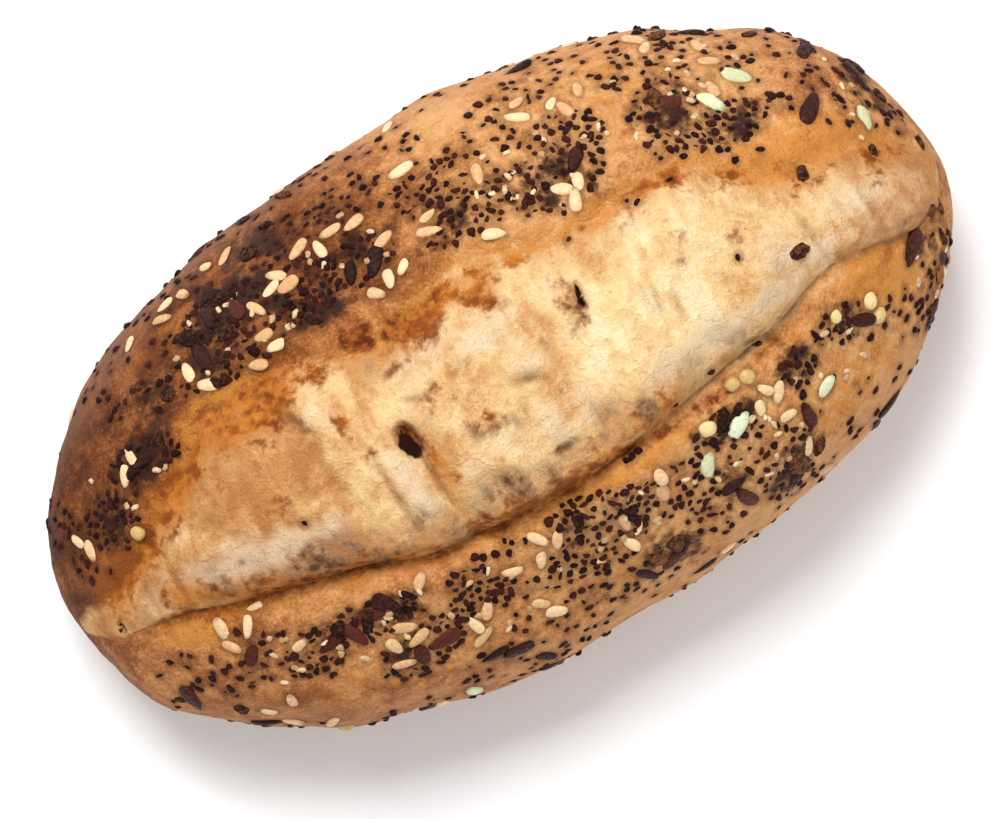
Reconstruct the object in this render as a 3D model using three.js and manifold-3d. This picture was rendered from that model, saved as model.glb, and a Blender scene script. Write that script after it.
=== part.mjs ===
// A long oval bread roll. Its seeded crust has burst open along the top, and the pale dough
// swells out of the burst. Linseed, sesame, hulled, millet and poppy seeds are baked on.
// Millimetres, +Z up, +X along the roll. The origin is the middle of the flat base.

import * as THREE from "three";
import { mergeVertices } from "three/addons/utils/BufferGeometryUtils.js";
import Module from "manifold-3d";

// The roll as a whole: a dome over a belly that is cut off flat at the base
const LENGTH = 129.6;
const WIDTH = 73.6;
const WAIST_HEIGHT = 15.5; // height of the widest line
const DOME_RISE = 27.5; // from the widest line to the top of the crust
const BELLY_DROP = 23.8; // from the widest line to where the belly would close, under the base
const HALF_LENGTH = LENGTH / 2;
const HALF_WIDTH = WIDTH / 2;

// Powers of the superellipses: seen from above, and the dome and belly seen from an end
const PLAN_POWER = 2.2;
const DOME_POWER = 2.15;
const BELLY_POWER = 2.2;

// Where the flat base ends, as a share of the plan
const BASE_EDGE = (1 - (WAIST_HEIGHT / BELLY_DROP) ** BELLY_POWER) ** (1 / BELLY_POWER);

// Low waves that keep the dough from being a perfect oval: height in mm, length in mm, phase
const DOUGH_WAVES = [
  { height: 0.45, lengths: [61, 47, 90], phase: 0.6 },
  { height: 0.3, lengths: [-29, 38, 55], phase: 2.1 },
  { height: 0.16, lengths: [17, -23, 31], phase: 4.0 },
];

// The burst's two edges: place along the roll in mm, and share of the half width there
const NEAR_EDGE = [
  [-62, -0.34], [-52, -0.28], [-45, -0.33], [-37, -0.37], [-28, -0.41], [-19, -0.47],
  [0, -0.5], [14, -0.46], [27, -0.43], [36, -0.4], [44, -0.34], [52, -0.43], [62, -0.7],
];
const FAR_EDGE = [
  [-62, -0.04], [-52, 0.15], [-44, 0.33], [-36, 0.46], [-27, 0.45], [-12, 0.31],
  [3, 0.41], [15, 0.31], [25, 0.33], [34, 0.36], [45, 0.13], [54, 0.15], [62, 0.02],
];

// The swollen dough and the lips of crust beside it, in mm. The near crease is open from one
// place along the roll to another, and shallow past them.
const SWELL = { rise: 3.2, nearRound: 7.5, farRound: 12, endFade: 9 };
const CREASE = { depth: 1.9, width: 1.5, from: -46, to: 40, fade: 9, shallow: 0.25 };
const NEAR_LIP = { rise: 0.9, away: 3.2, width: 2.2 };
const FAR_LIP = { rise: 0.7, away: 2.2, width: 2 };
const FAR_CREASE = { depth: 0.8, width: 1.9 };

// Folds across the swollen dough: place along the roll, width, depth, lean, all in mm
const FOLDS = [
  { at: -49, width: 2.2, depth: 0.7, lean: -0.2 },
  { at: -26, width: 1.8, depth: 0.8, lean: -0.22 },
  { at: -15, width: 2.3, depth: 1.5, lean: -0.12 },
  { at: 8, width: 2.4, depth: 0.9, lean: -0.1 },
  { at: 24, width: 1.9, depth: 0.6, lean: -0.25 },
  { at: 43, width: 2.6, depth: 1.0, lean: -0.3 },
];

// Rows of facets round a section, and sections along the roll. Besides the even rows, a few
// follow the near crease, this many mm inside it, and one follows the far crease.
const BASE_ROWS = 2;
const BELLY_ROWS = 3;
const CRUST_ROWS = 5;
const BURST_ROWS = 7;
const NEAR_CREASE_ROWS = [2.6, 1.1, 0, -1.4];
const ROWS_ROUND =
  2 * (BASE_ROWS + BELLY_ROWS + CRUST_ROWS) + 1 + BURST_ROWS + NEAR_CREASE_ROWS.length;
const CREASE_ROOM = 0.6; // share of the crust or burst beside a crease that its rows may take
const SECTIONS = 58;
const SECTION_SPREAD = 0.85; // 1 gathers the sections at the ends, 0 spaces them evenly
const LEAST_BASE_SHARE = 0.15;
const FIRM_BASE = 6; // the dough's waves fade out this close to the base

// Seeds at true size in mm, with the largest first. A patch is where some lie: its middle x and
// y, its half sizes along x and y, and how many it holds. Others are strewn on the roll's sides.
const SEEDS = {
  linseed: {
    size: [4.7, 2.5, 1.2], sides: 6, point: 0.45, apart: 3, onSides: 4,
    patches: [
      [-27, 26.5, 3.5, 2.5, 4], [-32, 22.5, 2.5, 1.5, 2], [-46, 13.5, 2, 1.5, 1],
      [-8.5, 21.5, 3, 1, 2], [22, 20, 1, 1, 1], [37, 19.5, 1, 1, 1], [45.5, 27.5, 1, 0.5, 1],
      [52.8, 9.8, 0.3, 0.3, 1], [57, 16.5, 1, 1, 1], [61, 11, 0.5, 3, 2], [-56, -16, 0.5, 1, 1],
      [-50, -24.5, 1, 1, 1], [-46, -16, 1, 1, 1], [-30, -19.5, 5, 2, 4], [-37, -20, 1, 1, 1],
      [-25, -27.5, 3, 1.5, 2], [-17, -32.5, 3, 1, 2], [6, -32.5, 3, 1, 2], [20, -29, 1, 1.5, 2],
      [27, -31, 2, 0.8, 2], [32, -24.5, 0.5, 1, 1], [44.3, -17.5, 0.5, 1, 1],
      [55.3, -13, 0.5, 1.5, 1], [53, -22, 1, 0.6, 1],
    ],
  },
  hulled: {
    size: [4, 2.3, 1.3], sides: 6, point: 0.3, apart: 2.6, onSides: 1,
    patches: [
      [23.8, -22.5, 0.8, 1.3, 2], [41.7, 16.7, 0.5, 0.5, 1], [46.6, 18.3, 0.5, 0.5, 1],
      [58.5, 5.5, 0.8, 1.3, 2], [36.5, -23.2, 0.3, 0.3, 1], [18.5, -24.3, 1, 1, 1],
    ],
  },
  sesame: {
    size: [3.3, 1.9, 1.0], sides: 6, point: 0.35, apart: 2.3, onSides: 8,
    patches: [
      [-41, 28.5, 1, 1, 1], [-33.5, 30, 3, 2, 3], [-25, 32, 2.5, 1, 2], [-48, 14, 3.5, 1.5, 2],
      [-38.5, 12, 1, 1, 1], [-59, 7, 1.5, 2, 2], [-34, 19, 2, 2, 2], [-22.5, 23.7, 5.5, 1, 4],
      [-23.5, 18.3, 3, 1.2, 2], [-27.5, 16, 1, 1, 1], [-11, 26.5, 5, 1.5, 4], [-4.5, 23.6, 1.5, 1, 2],
      [-5.8, 17.5, 3.5, 2, 3], [2, 22, 1.5, 2, 3], [1.8, 30.3, 1, 1, 1], [9, 16, 1, 1, 1],
      [19, 15.5, 3, 1.5, 3], [19.5, 28.5, 1.2, 1.5, 2], [26, 27, 3, 2, 3], [38, 27.5, 1, 2.5, 2],
      [44.5, 23, 1, 2, 1], [-47.8, -13, 1.5, 2.5, 3], [-41, -18.5, 1, 1.5, 1],
      [-46.5, -23.7, 3, 1, 2], [-28.5, -25, 3, 2.5, 5], [-22, -18.5, 1, 0.5, 1],
      [-18, -28, 2.5, 3, 3], [-9.5, -29, 2.5, 2.5, 2], [-3.5, -22.7, 1, 0.5, 1],
      [4, -26.5, 0.5, 3.2, 2], [11, -23, 1, 1.8, 2], [29, -21, 2.5, 1, 2], [31, -28, 0.8, 0.8, 1],
      [56.5, 2.5, 1.5, 1.5, 1],
    ],
  },
  millet: {
    size: [2.3, 2.2, 1.8], sides: 5, point: 0, apart: 2.2, onSides: 1,
    patches: [
      [26.8, -16.6, 1.6, 0.4, 2], [41.5, -15.6, 0.5, 0.4, 1], [47, -17.5, 1, 2, 2],
      [-52, 6.5, 1, 1, 1], [20.5, -19.8, 1, 0.4, 1],
    ],
  },
  poppy: {
    size: [1.3, 1.15, 1.05], sides: 5, point: 0, apart: 1.5, onSides: 6,
    patches: [
      [-27, 22, 9, 6, 8], [-10, 24, 8, 6, 6], [8, 22, 8, 6, 5], [22, 22, 8, 8, 6], [42, 17, 8, 8, 6],
      [-50, 13, 8, 6, 5], [-33, -21, 10, 4, 5], [0, -26, 12, 6, 6], [22, -25, 9, 6, 6],
      [46, -19, 10, 5, 4],
    ],
  },
};
const SEED_RINGS = 3;
const SEED_TRIES = 30; // for each seed that is wanted
const SEED_SINK = 0.12; // share of the thickness by which a seed's middle lies below the crust
const SEED_TILT = 0.35;
const SEED_SCALE = { least: 0.88, spread: 0.24 };
const SIDES = { from: 72, to: 100, along: 0.93 }; // degrees round the section, share of the length
const FIRST_DRAW = 20417;
const BARE_MARGIN = 0.9; // bare crust beside the burst, in mm

// Finishes
const CRUST_COLOUR = new THREE.Color(0.62, 0.38, 0.2);

const clamp01 = (t) => Math.min(1, Math.max(0, t));
const smooth = (t) => clamp01(t) ** 2 * (3 - 2 * clamp01(t));
const bell = (distance, width) => Math.exp(-((distance / width) ** 2));
const power = (base, exponent) => Math.abs(base) ** exponent;

// A smooth line through hand-chosen points, with the slope at each point from its neighbours.
function alongEdge(points, x) {
  const last = points.length - 1;
  if (x <= points[0][0]) return points[0][1];
  if (x >= points[last][0]) return points[last][1];
  const i = points.findIndex((p) => p[0] > x) - 1;
  const slope = (k) => {
    const a = points[Math.max(0, k - 1)];
    const b = points[Math.min(last, k + 1)];
    return (b[1] - a[1]) / (b[0] - a[0]);
  };
  const [x0, v0] = points[i];
  const [x1, v1] = points[i + 1];
  const span = x1 - x0;
  const t = (x - x0) / span;
  return (
    v0 * (2 * t ** 3 - 3 * t ** 2 + 1) +
    slope(i) * span * (t ** 3 - 2 * t ** 2 + t) +
    v1 * (3 * t ** 2 - 2 * t ** 3) +
    slope(i + 1) * span * (t ** 3 - t ** 2)
  );
}

// Half the roll's width at a place along it.
function halfWidthAt(x) {
  const rest = Math.max(0, 1 - power(x / HALF_LENGTH, PLAN_POWER));
  return HALF_WIDTH * rest ** (1 / PLAN_POWER);
}

// How far out a plan point lies: 0 at the middle, 1 at the outline.
function planRadius(x, y) {
  const sum = power(x / HALF_LENGTH, PLAN_POWER) + power(y / HALF_WIDTH, PLAN_POWER);
  return Math.min(1, sum ** (1 / PLAN_POWER));
}

// The smooth dough without its relief: a point on the dome, or under the widest line on the belly.
function doughPoint(x, y, below) {
  const out = planRadius(x, y);
  const bend = below ? BELLY_POWER : DOME_POWER;
  const reach = (1 - out ** bend) ** (1 / bend);
  const z = below ? WAIST_HEIGHT - BELLY_DROP * reach : WAIST_HEIGHT + DOME_RISE * reach;
  const rise = below ? -BELLY_DROP : DOME_RISE;
  const spread = out > 1e-6 ? out ** (bend - PLAN_POWER) : 0;
  const normal = new THREE.Vector3(
    (spread * Math.sign(x) * power(x / HALF_LENGTH, PLAN_POWER - 1)) / HALF_LENGTH,
    (spread * Math.sign(y) * power(y / HALF_WIDTH, PLAN_POWER - 1)) / HALF_WIDTH,
    reach ** (bend - 1) / rise,
  ).normalize();
  return { point: new THREE.Vector3(x, y, z), normal };
}

// Slow unevenness of the whole roll.
function doughWaves(p) {
  const turn = 2 * Math.PI;
  return DOUGH_WAVES.reduce((sum, { height, lengths, phase }) => {
    const along = p.x / lengths[0] + p.y / lengths[1] + p.z / lengths[2];
    return sum + height * Math.sin(turn * along + phase);
  }, 0);
}

// The burst's relief at a plan point: a crease and lips at its edges, and the swell between them.
function burstRelief(x, y) {
  const half = halfWidthAt(x);
  const inNear = y - alongEdge(NEAR_EDGE, x) * half;
  const inFar = alongEdge(FAR_EDGE, x) * half - y;
  const ends = smooth((HALF_LENGTH - Math.abs(x)) / SWELL.endFade);
  const open =
    smooth((x - CREASE.from) / CREASE.fade + 0.5) * smooth((CREASE.to - x) / CREASE.fade + 0.5);
  const creased = CREASE.shallow + (1 - CREASE.shallow) * open;
  const nearRise = Math.sqrt(1 - (1 - clamp01(inNear / SWELL.nearRound)) ** 2);
  const inside = nearRise * smooth(inFar / SWELL.farRound);
  const folds = FOLDS.reduce(
    (sum, { at, width, depth, lean }) => sum + depth * bell(x - at - lean * y, width),
    0,
  );
  const nearEdge =
    NEAR_LIP.rise * bell(inNear + NEAR_LIP.away, NEAR_LIP.width) -
    CREASE.depth * bell(inNear, CREASE.width);
  const farEdge =
    FAR_LIP.rise * bell(inFar + FAR_LIP.away, FAR_LIP.width) -
    FAR_CREASE.depth * bell(inFar, FAR_CREASE.width);
  return ends * (inside * (SWELL.rise - folds) + creased * nearEdge + farEdge);
}

// A point on the finished surface. across is the share of the half width there, from -1 to 1.
function crustPoint(x, across, below) {
  const y = across * halfWidthAt(x);
  const { point, normal } = doughPoint(x, y, below);
  if (point.z <= 0) return { point: point.setZ(0), normal: new THREE.Vector3(0, 0, -1) };
  const lift = doughWaves(point) * smooth(point.z / FIRM_BASE) + (below ? 0 : burstRelief(x, y));
  point.addScaledVector(normal, lift);
  point.z = Math.max(0, point.z);
  return { point, normal };
}

// The half section's share where the flat base ends.
function baseShare(x) {
  const rest = BASE_EDGE ** PLAN_POWER - power(x / HALF_LENGTH, PLAN_POWER);
  const half = HALF_WIDTH * Math.max(0, rest) ** (1 / PLAN_POWER);
  return Math.max(LEAST_BASE_SHARE, half / halfWidthAt(x));
}

// One section's spots, from the middle of the base up the far side, over the top and back.
function sectionSpots(x) {
  const half = halfWidthAt(x);
  const base = baseShare(x);
  const far = alongEdge(FAR_EDGE, x);
  const near = alongEdge(NEAR_EDGE, x);
  // The rows beside a crease draw together where the roll is narrow
  const room = CREASE_ROOM * Math.min(1 + near, 1 - far, far - near);
  const beside = (edge, inside) => edge + inside * Math.min(1 / half, room / NEAR_LIP.away);
  const farLip = beside(far, FAR_LIP.away);
  const nearLip = beside(near, -NEAR_LIP.away);
  const shoulder = beside(near, NEAR_CREASE_ROWS[0]);
  const spots = [];
  const add = (rows, below, shareAt) => {
    for (let i = 0; i < rows; i += 1) spots.push({ across: shareAt(i / rows), below });
  };
  // Crust rows gather at the widest line, where the surface stands upright
  const rounded = (t) => 1 - Math.cos((t * Math.PI) / 2);
  add(BASE_ROWS, true, (t) => base * t);
  add(BELLY_ROWS, true, (t) => base + (1 - base) * (1 - rounded(1 - t)));
  add(CRUST_ROWS, false, (t) => 1 - (1 - farLip) * rounded(t));
  add(1, false, () => farLip);
  add(BURST_ROWS, false, (t) => far + (shoulder - far) * t);
  for (const inside of NEAR_CREASE_ROWS) add(1, false, () => beside(near, inside));
  add(CRUST_ROWS, false, (t) => (1 + nearLip) * rounded(1 - t) - 1);
  add(BELLY_ROWS, true, (t) => (1 - base) * rounded(t) - 1);
  add(BASE_ROWS, true, (t) => base * (t - 1));
  add(1, true, () => 0);
  return spots;
}

// The bare loaf: a sphere's net of rows and sections, with its poles at the roll's two ends.
function doughGeometry() {
  const geometry = new THREE.SphereGeometry(1, ROWS_ROUND, SECTIONS);
  const position = geometry.getAttribute("position");
  for (let j = 0; j <= SECTIONS; j += 1) {
    const run = 1 - (2 * j) / SECTIONS;
    const gathered = Math.sin((run * Math.PI) / 2);
    const x = HALF_LENGTH * (SECTION_SPREAD * gathered + (1 - SECTION_SPREAD) * run);
    const spots = sectionSpots(x);
    for (let i = 0; i <= ROWS_ROUND; i += 1) {
      const isEnd = j === 0 || j === SECTIONS;
      const spot = isEnd ? { across: 0, below: false } : spots[i];
      const { point } = crustPoint(x, spot.across, spot.below);
      position.setXYZ(j * (ROWS_ROUND + 1) + i, point.x, point.y, point.z);
    }
  }
  return geometry;
}

// Repeatable draws from 0 to 1.
function makeDraws(start) {
  let state = start >>> 0;
  return () => {
    state = (Math.imul(state, 1664525) + 1013904223) >>> 0;
    return state / 4294967296;
  };
}

// A spot drawn evenly from a patch's oval.
function spotInPatch([middleX, middleY, halfX, halfY], draw) {
  const reach = Math.sqrt(draw());
  const angle = 2 * Math.PI * draw();
  const x = middleX + halfX * reach * Math.cos(angle);
  const y = middleY + halfY * reach * Math.sin(angle);
  return { x, across: y / halfWidthAt(x), below: false };
}

// A spot drawn evenly from the roll's two sides.
function spotOnSides(draw) {
  const x = SIDES.along * HALF_LENGTH * (2 * draw() - 1);
  const way = 2 * draw() - 1;
  const round = THREE.MathUtils.degToRad(SIDES.from + (SIDES.to - SIDES.from) * Math.abs(way));
  return { x, across: Math.sign(way) * Math.sin(round), below: round > Math.PI / 2 };
}

// Whether a spot is on seeded crust, clear of the burst.
function isCrust({ x, across, below }) {
  const half = halfWidthAt(x);
  const pastFar = (across - alongEdge(FAR_EDGE, x)) * half;
  const pastNear = (alongEdge(NEAR_EDGE, x) - across) * half;
  return below || Math.max(pastFar, pastNear) > BARE_MARGIN;
}

// A seed of one kind, lying flat, pointed towards +X as far as its kind is.
function seedGeometry({ size, sides, point }) {
  const geometry = new THREE.SphereGeometry(1, sides, SEED_RINGS);
  const position = geometry.getAttribute("position");
  const p = new THREE.Vector3();
  for (let i = 0; i < position.count; i += 1) {
    p.fromBufferAttribute(position, i);
    const narrow = 1 - (point * (1 + p.y)) / 2;
    position.setXYZ(i, (p.y * size[0]) / 2, (p.z * narrow * size[1]) / 2, (p.x * size[2]) / 2);
  }
  return geometry;
}

// The places of one kind's seeds. Each try takes the same five draws, whether or not it stays.
function seedPlaces(kind, draw, taken) {
  const places = [];
  const strew = (count, drawSpot) => {
    const wanted = places.length + count;
    for (let n = 0; n < count * SEED_TRIES && places.length < wanted; n += 1) {
      const spot = drawSpot();
      const turn = 2 * Math.PI * draw();
      const tilt = SEED_TILT * (draw() - 0.5);
      const scale = SEED_SCALE.least + SEED_SCALE.spread * draw();
      if (Math.abs(spot.across) > 1 || !isCrust(spot)) continue;
      const { point, normal } = crustPoint(spot.x, spot.across, spot.below);
      const room = (other) => (other.apart + kind.apart) / 2;
      if (taken.some((other) => other.point.distanceTo(point) < room(other))) continue;
      const place = { point, normal, turn, tilt, scale, apart: kind.apart };
      places.push(place);
      taken.push(place);
    }
  };
  for (const patch of kind.patches) strew(patch.at(-1), () => spotInPatch(patch, draw));
  strew(kind.onSides, () => spotOnSides(draw));
  return places;
}

// The matrix that lays a seed on the crust at its place.
function seedMatrix(place, thickness) {
  const level = new THREE.Vector3(0, 0, 1).cross(place.normal);
  if (level.lengthSq() < 1e-6) level.set(1, 0, 0);
  const along = level.normalize().applyAxisAngle(place.normal, place.turn);
  const side = new THREE.Vector3().crossVectors(place.normal, along);
  const centre = place.point.clone().addScaledVector(place.normal, -SEED_SINK * thickness);
  return new THREE.Matrix4()
    .makeBasis(along, side, place.normal)
    .multiply(new THREE.Matrix4().makeRotationY(place.tilt))
    .scale(new THREE.Vector3().setScalar(place.scale))
    .setPosition(centre);
}

const wasm = await Module();
wasm.setup();

// A geometry as a solid that can be joined to others.
function solidOf(geometry) {
  const bare = geometry.clone();
  bare.deleteAttribute("normal");
  bare.deleteAttribute("uv");
  const merged = mergeVertices(bare, 1e-4);
  return new wasm.Manifold(
    new wasm.Mesh({
      numProp: 3,
      vertProperties: new Float32Array(merged.getAttribute("position").array),
      triVerts: new Uint32Array(merged.index.array),
    }),
  );
}

// A solid's faces as a geometry.
function geometryOf(solid) {
  const mesh = solid.getMesh();
  const geometry = new THREE.BufferGeometry();
  geometry.setAttribute("position", new THREE.BufferAttribute(mesh.vertProperties, 3));
  geometry.setIndex(new THREE.BufferAttribute(mesh.triVerts, 1));
  geometry.computeVertexNormals();
  return geometry;
}

// The dough with every seed fused on. Scraps and sealed hollows that the joining leaves are dropped.
function seededRoll() {
  const draw = makeDraws(FIRST_DRAW);
  const taken = [];
  const solids = [solidOf(doughGeometry())];
  for (const kind of Object.values(SEEDS)) {
    const seed = seedGeometry(kind);
    for (const place of seedPlaces(kind, draw, taken))
      solids.push(solidOf(seed.clone().applyMatrix4(seedMatrix(place, kind.size[2]))));
  }
  const pieces = solids.reduce((joined, solid) => joined.add(solid)).decompose();
  return pieces.reduce((largest, piece) => (piece.volume() > largest.volume() ? piece : largest));
}

const crust = new THREE.MeshStandardMaterial({
  color: CRUST_COLOUR,
  roughness: 0.8,
  metalness: 0,
});
const rollMesh = new THREE.Mesh(geometryOf(seededRoll()), crust);
rollMesh.name = "roll";

const breadRoll = new THREE.Group();
breadRoll.add(rollMesh);

export default breadRoll;
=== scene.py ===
"""A long seeded bread roll whose crust has burst open along the top over paler dough.

Lengths in the classes are millimetres in the frame's axes: +X along the roll, +Y across it
towards the burst's shallow far edge, +Z up. Meshes are made in metres.
"""

from __future__ import annotations

import itertools
import logging
import math
from collections.abc import Callable
from dataclasses import dataclass, field
from enum import Enum

import bpy
import numpy as np
from mathutils import Matrix, Vector

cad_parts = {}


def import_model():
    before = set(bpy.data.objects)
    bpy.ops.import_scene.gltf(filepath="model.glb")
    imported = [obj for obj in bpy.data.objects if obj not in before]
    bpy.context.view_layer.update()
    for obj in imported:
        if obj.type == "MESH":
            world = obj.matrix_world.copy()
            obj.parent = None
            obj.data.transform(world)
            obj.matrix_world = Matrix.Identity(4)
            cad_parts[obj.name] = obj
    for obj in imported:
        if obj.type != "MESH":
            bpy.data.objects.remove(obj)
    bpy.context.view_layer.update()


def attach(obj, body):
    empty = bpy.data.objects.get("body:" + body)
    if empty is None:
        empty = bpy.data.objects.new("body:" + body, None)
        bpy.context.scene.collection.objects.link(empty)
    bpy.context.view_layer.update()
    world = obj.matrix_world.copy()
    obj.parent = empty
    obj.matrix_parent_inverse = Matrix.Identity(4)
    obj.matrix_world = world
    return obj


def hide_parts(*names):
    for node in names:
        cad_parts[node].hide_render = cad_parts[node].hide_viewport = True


Array = np.ndarray
Pair = tuple[float, float]
Triple = tuple[float, float, float]
Colour = tuple[float, float, float, float]
Stops = tuple[tuple[float, Colour], ...]
Faces = list[tuple[int, ...]]
Socket = bpy.types.NodeSocket
Inputs = dict[str | int, Socket | float | tuple[float, ...]]

MM = 0.001
BODY = "root"
NODE = "roll"

log = logging.getLogger("bread_roll")


def smooth(t: Array) -> Array:
    """Ease from 0 to 1 as t goes from 0 to 1."""
    t = np.clip(t, 0.0, 1.0)
    return t * t * (3.0 - 2.0 * t)


def climb(value: Array, start: float, end: float) -> Array:
    """Climbs smoothly from 0 where a value is at the start to 1 where it is at the end."""
    return smooth((value - start) / (end - start))


def bell(distance: Array, width: float) -> Array:
    """A soft bump of height 1 that fades over a width."""
    return np.exp(-((distance / width) ** 2))


def tone(red: int, green: int, blue: int) -> Colour:
    """A display colour, 0 to 255, as the linear colour that a shader takes.

    Args:
        red: Red as shown on a display.
        green: Green as shown on a display.
        blue: Blue as shown on a display.

    Returns:
        The linear colour with full opacity.
    """
    def linear(value: int) -> float:
        """One channel without the display's curve."""
        share = value / 255.0
        return share / 12.92 if share <= 0.04045 else ((share + 0.055) / 1.055) ** 2.4

    return (linear(red), linear(green), linear(blue), 1.0)


@dataclass(frozen=True)
class Grain:
    """Smooth random unevenness in space that is the same on every run.

    Attributes:
        lengths: Wave length, or one each along x, y and z.
        salt: Picks one pattern among many.
        octaves: Layers, each with waves half as long and half as high.
        height: About the greatest value.
    """

    lengths: float | Triple
    salt: int
    octaves: int = 1
    height: float = 1.0

    def at(self, points: Array) -> Array:
        """Its values at points, from about -height to height.

        Args:
            points: Places in mm, one row each.

        Returns:
            One value for each point.
        """
        scaled = points / np.array(self.lengths)
        total = np.zeros(len(points))
        weight, sum_of_weights = 1.0, 0.0
        for octave in range(self.octaves):
            total += weight * self._layer(scaled * 2.0**octave, self.salt + octave)
            sum_of_weights += weight
            weight *= 0.5
        return self.height * (total / sum_of_weights)

    @staticmethod
    def _slopes(cells: Array, salt: int) -> Array:
        """A repeatable random slope, three numbers from -1 to 1, for each cell corner.

        Args:
            cells: The corners in whole numbers, one row each.
            salt: Picks the pattern.

        Returns:
            The slopes, one row each.
        """
        primes = np.array([73856093, 19349663, 83492791], dtype=np.uint64)
        mixed = (cells.astype(np.uint64) * primes).sum(axis=1) + np.uint64(salt * 2654435761)
        mixed ^= mixed >> np.uint64(31)
        mixed *= np.uint64(0x7FB5D329728EA185)
        mixed ^= mixed >> np.uint64(27)
        mixed *= np.uint64(0x81DADEF4BC2DD44D)
        mixed ^= mixed >> np.uint64(33)
        parts = [(mixed >> np.uint64(shift)) & np.uint64(0xFFFFF) for shift in (0, 20, 40)]
        return np.stack(parts, axis=1).astype(float) / 0x80000 - 1.0

    @classmethod
    def _layer(cls, scaled: Array, salt: int) -> Array:
        """One layer of unevenness at points given in wave lengths.

        Args:
            scaled: The points, one row each.
            salt: Picks the pattern.

        Returns:
            One value for each point.
        """
        cells = np.floor(scaled).astype(np.int64)
        inside = scaled - cells
        ease = inside**3 * (inside * (inside * 6.0 - 15.0) + 10.0)
        total = np.zeros(len(scaled))
        for corner in itertools.product((0, 1), repeat=3):
            step = np.array(corner)
            slopes = cls._slopes(cells + step, salt)
            share = np.where(step == 1, ease, 1.0 - ease).prod(axis=1)
            total += share * ((inside - step) * slopes).sum(axis=1)
        return total * 1.5


@dataclass(frozen=True)
class EdgeLine:
    """A smooth line along the roll through given points: place along it, share across."""

    points: tuple[Pair, ...]

    def at(self, x: Array) -> Array:
        """The share of the half width at places along the roll.

        Args:
            x: The places.

        Returns:
            One share for each place.
        """
        places, values = np.array(self.points).T
        slopes = np.empty_like(values)
        slopes[1:-1] = (values[2:] - values[:-2]) / (places[2:] - places[:-2])
        slopes[0] = (values[1] - values[0]) / (places[1] - places[0])
        slopes[-1] = (values[-1] - values[-2]) / (places[-1] - places[-2])
        i = np.clip(np.searchsorted(places, x, side="right") - 1, 0, len(places) - 2)
        span = places[i + 1] - places[i]
        t = np.clip((x - places[i]) / span, 0.0, 1.0)
        return (
            values[i] * (2 * t**3 - 3 * t**2 + 1)
            + slopes[i] * span * (t**3 - 2 * t**2 + t)
            + values[i + 1] * (3 * t**2 - 2 * t**3)
            + slopes[i + 1] * span * (t**3 - t**2)
        )


@dataclass(frozen=True)
class Wave:
    """One slow wave of the dough: its height, its lengths along the axes, and its phase."""

    height: float
    lengths: Triple
    phase: float


@dataclass(frozen=True)
class Oval:
    """An oval place on the roll, seen from above.

    Attributes:
        x: Middle along the roll.
        y: Middle across it.
        half_x: Half size along its own first axis.
        half_y: Half size along its own second axis.
        turn: Degrees that its first axis is turned from +X.
        amount: How strong it is.
    """

    x: float
    y: float
    half_x: float
    half_y: float
    turn: float = 0.0
    amount: float = 1.0

    def reach(self, x: Array, y: Array) -> Array:
        """How far out places lie: 0 in the middle, 1 on the oval's edge.

        Args:
            x: Places along the roll.
            y: Places across it.

        Returns:
            One number for each place.
        """
        cos, sin = math.cos(math.radians(self.turn)), math.sin(math.radians(self.turn))
        along = (x - self.x) * cos + (y - self.y) * sin
        aside = (y - self.y) * cos - (x - self.x) * sin
        return np.hypot(along / self.half_x, aside / self.half_y)

    def cover(self, x: Array, y: Array, softness: float) -> Array:
        """The oval's amount inside it, fading out across its edge."""
        return self.amount * smooth((1.0 + softness - self.reach(x, y)) / (2.0 * softness))

    def dome(self, x: Array, y: Array) -> Array:
        """The oval's amount as a round dome that ends at its edge."""
        return self.amount * np.sqrt(np.maximum(0.0, 1.0 - self.reach(x, y) ** 2))


def ovals(*rows: tuple[float, ...]) -> tuple[Oval, ...]:
    """Ovals from rows of middle and half sizes, with turn and amount where they differ."""
    return tuple(Oval(*row) for row in rows)


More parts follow.
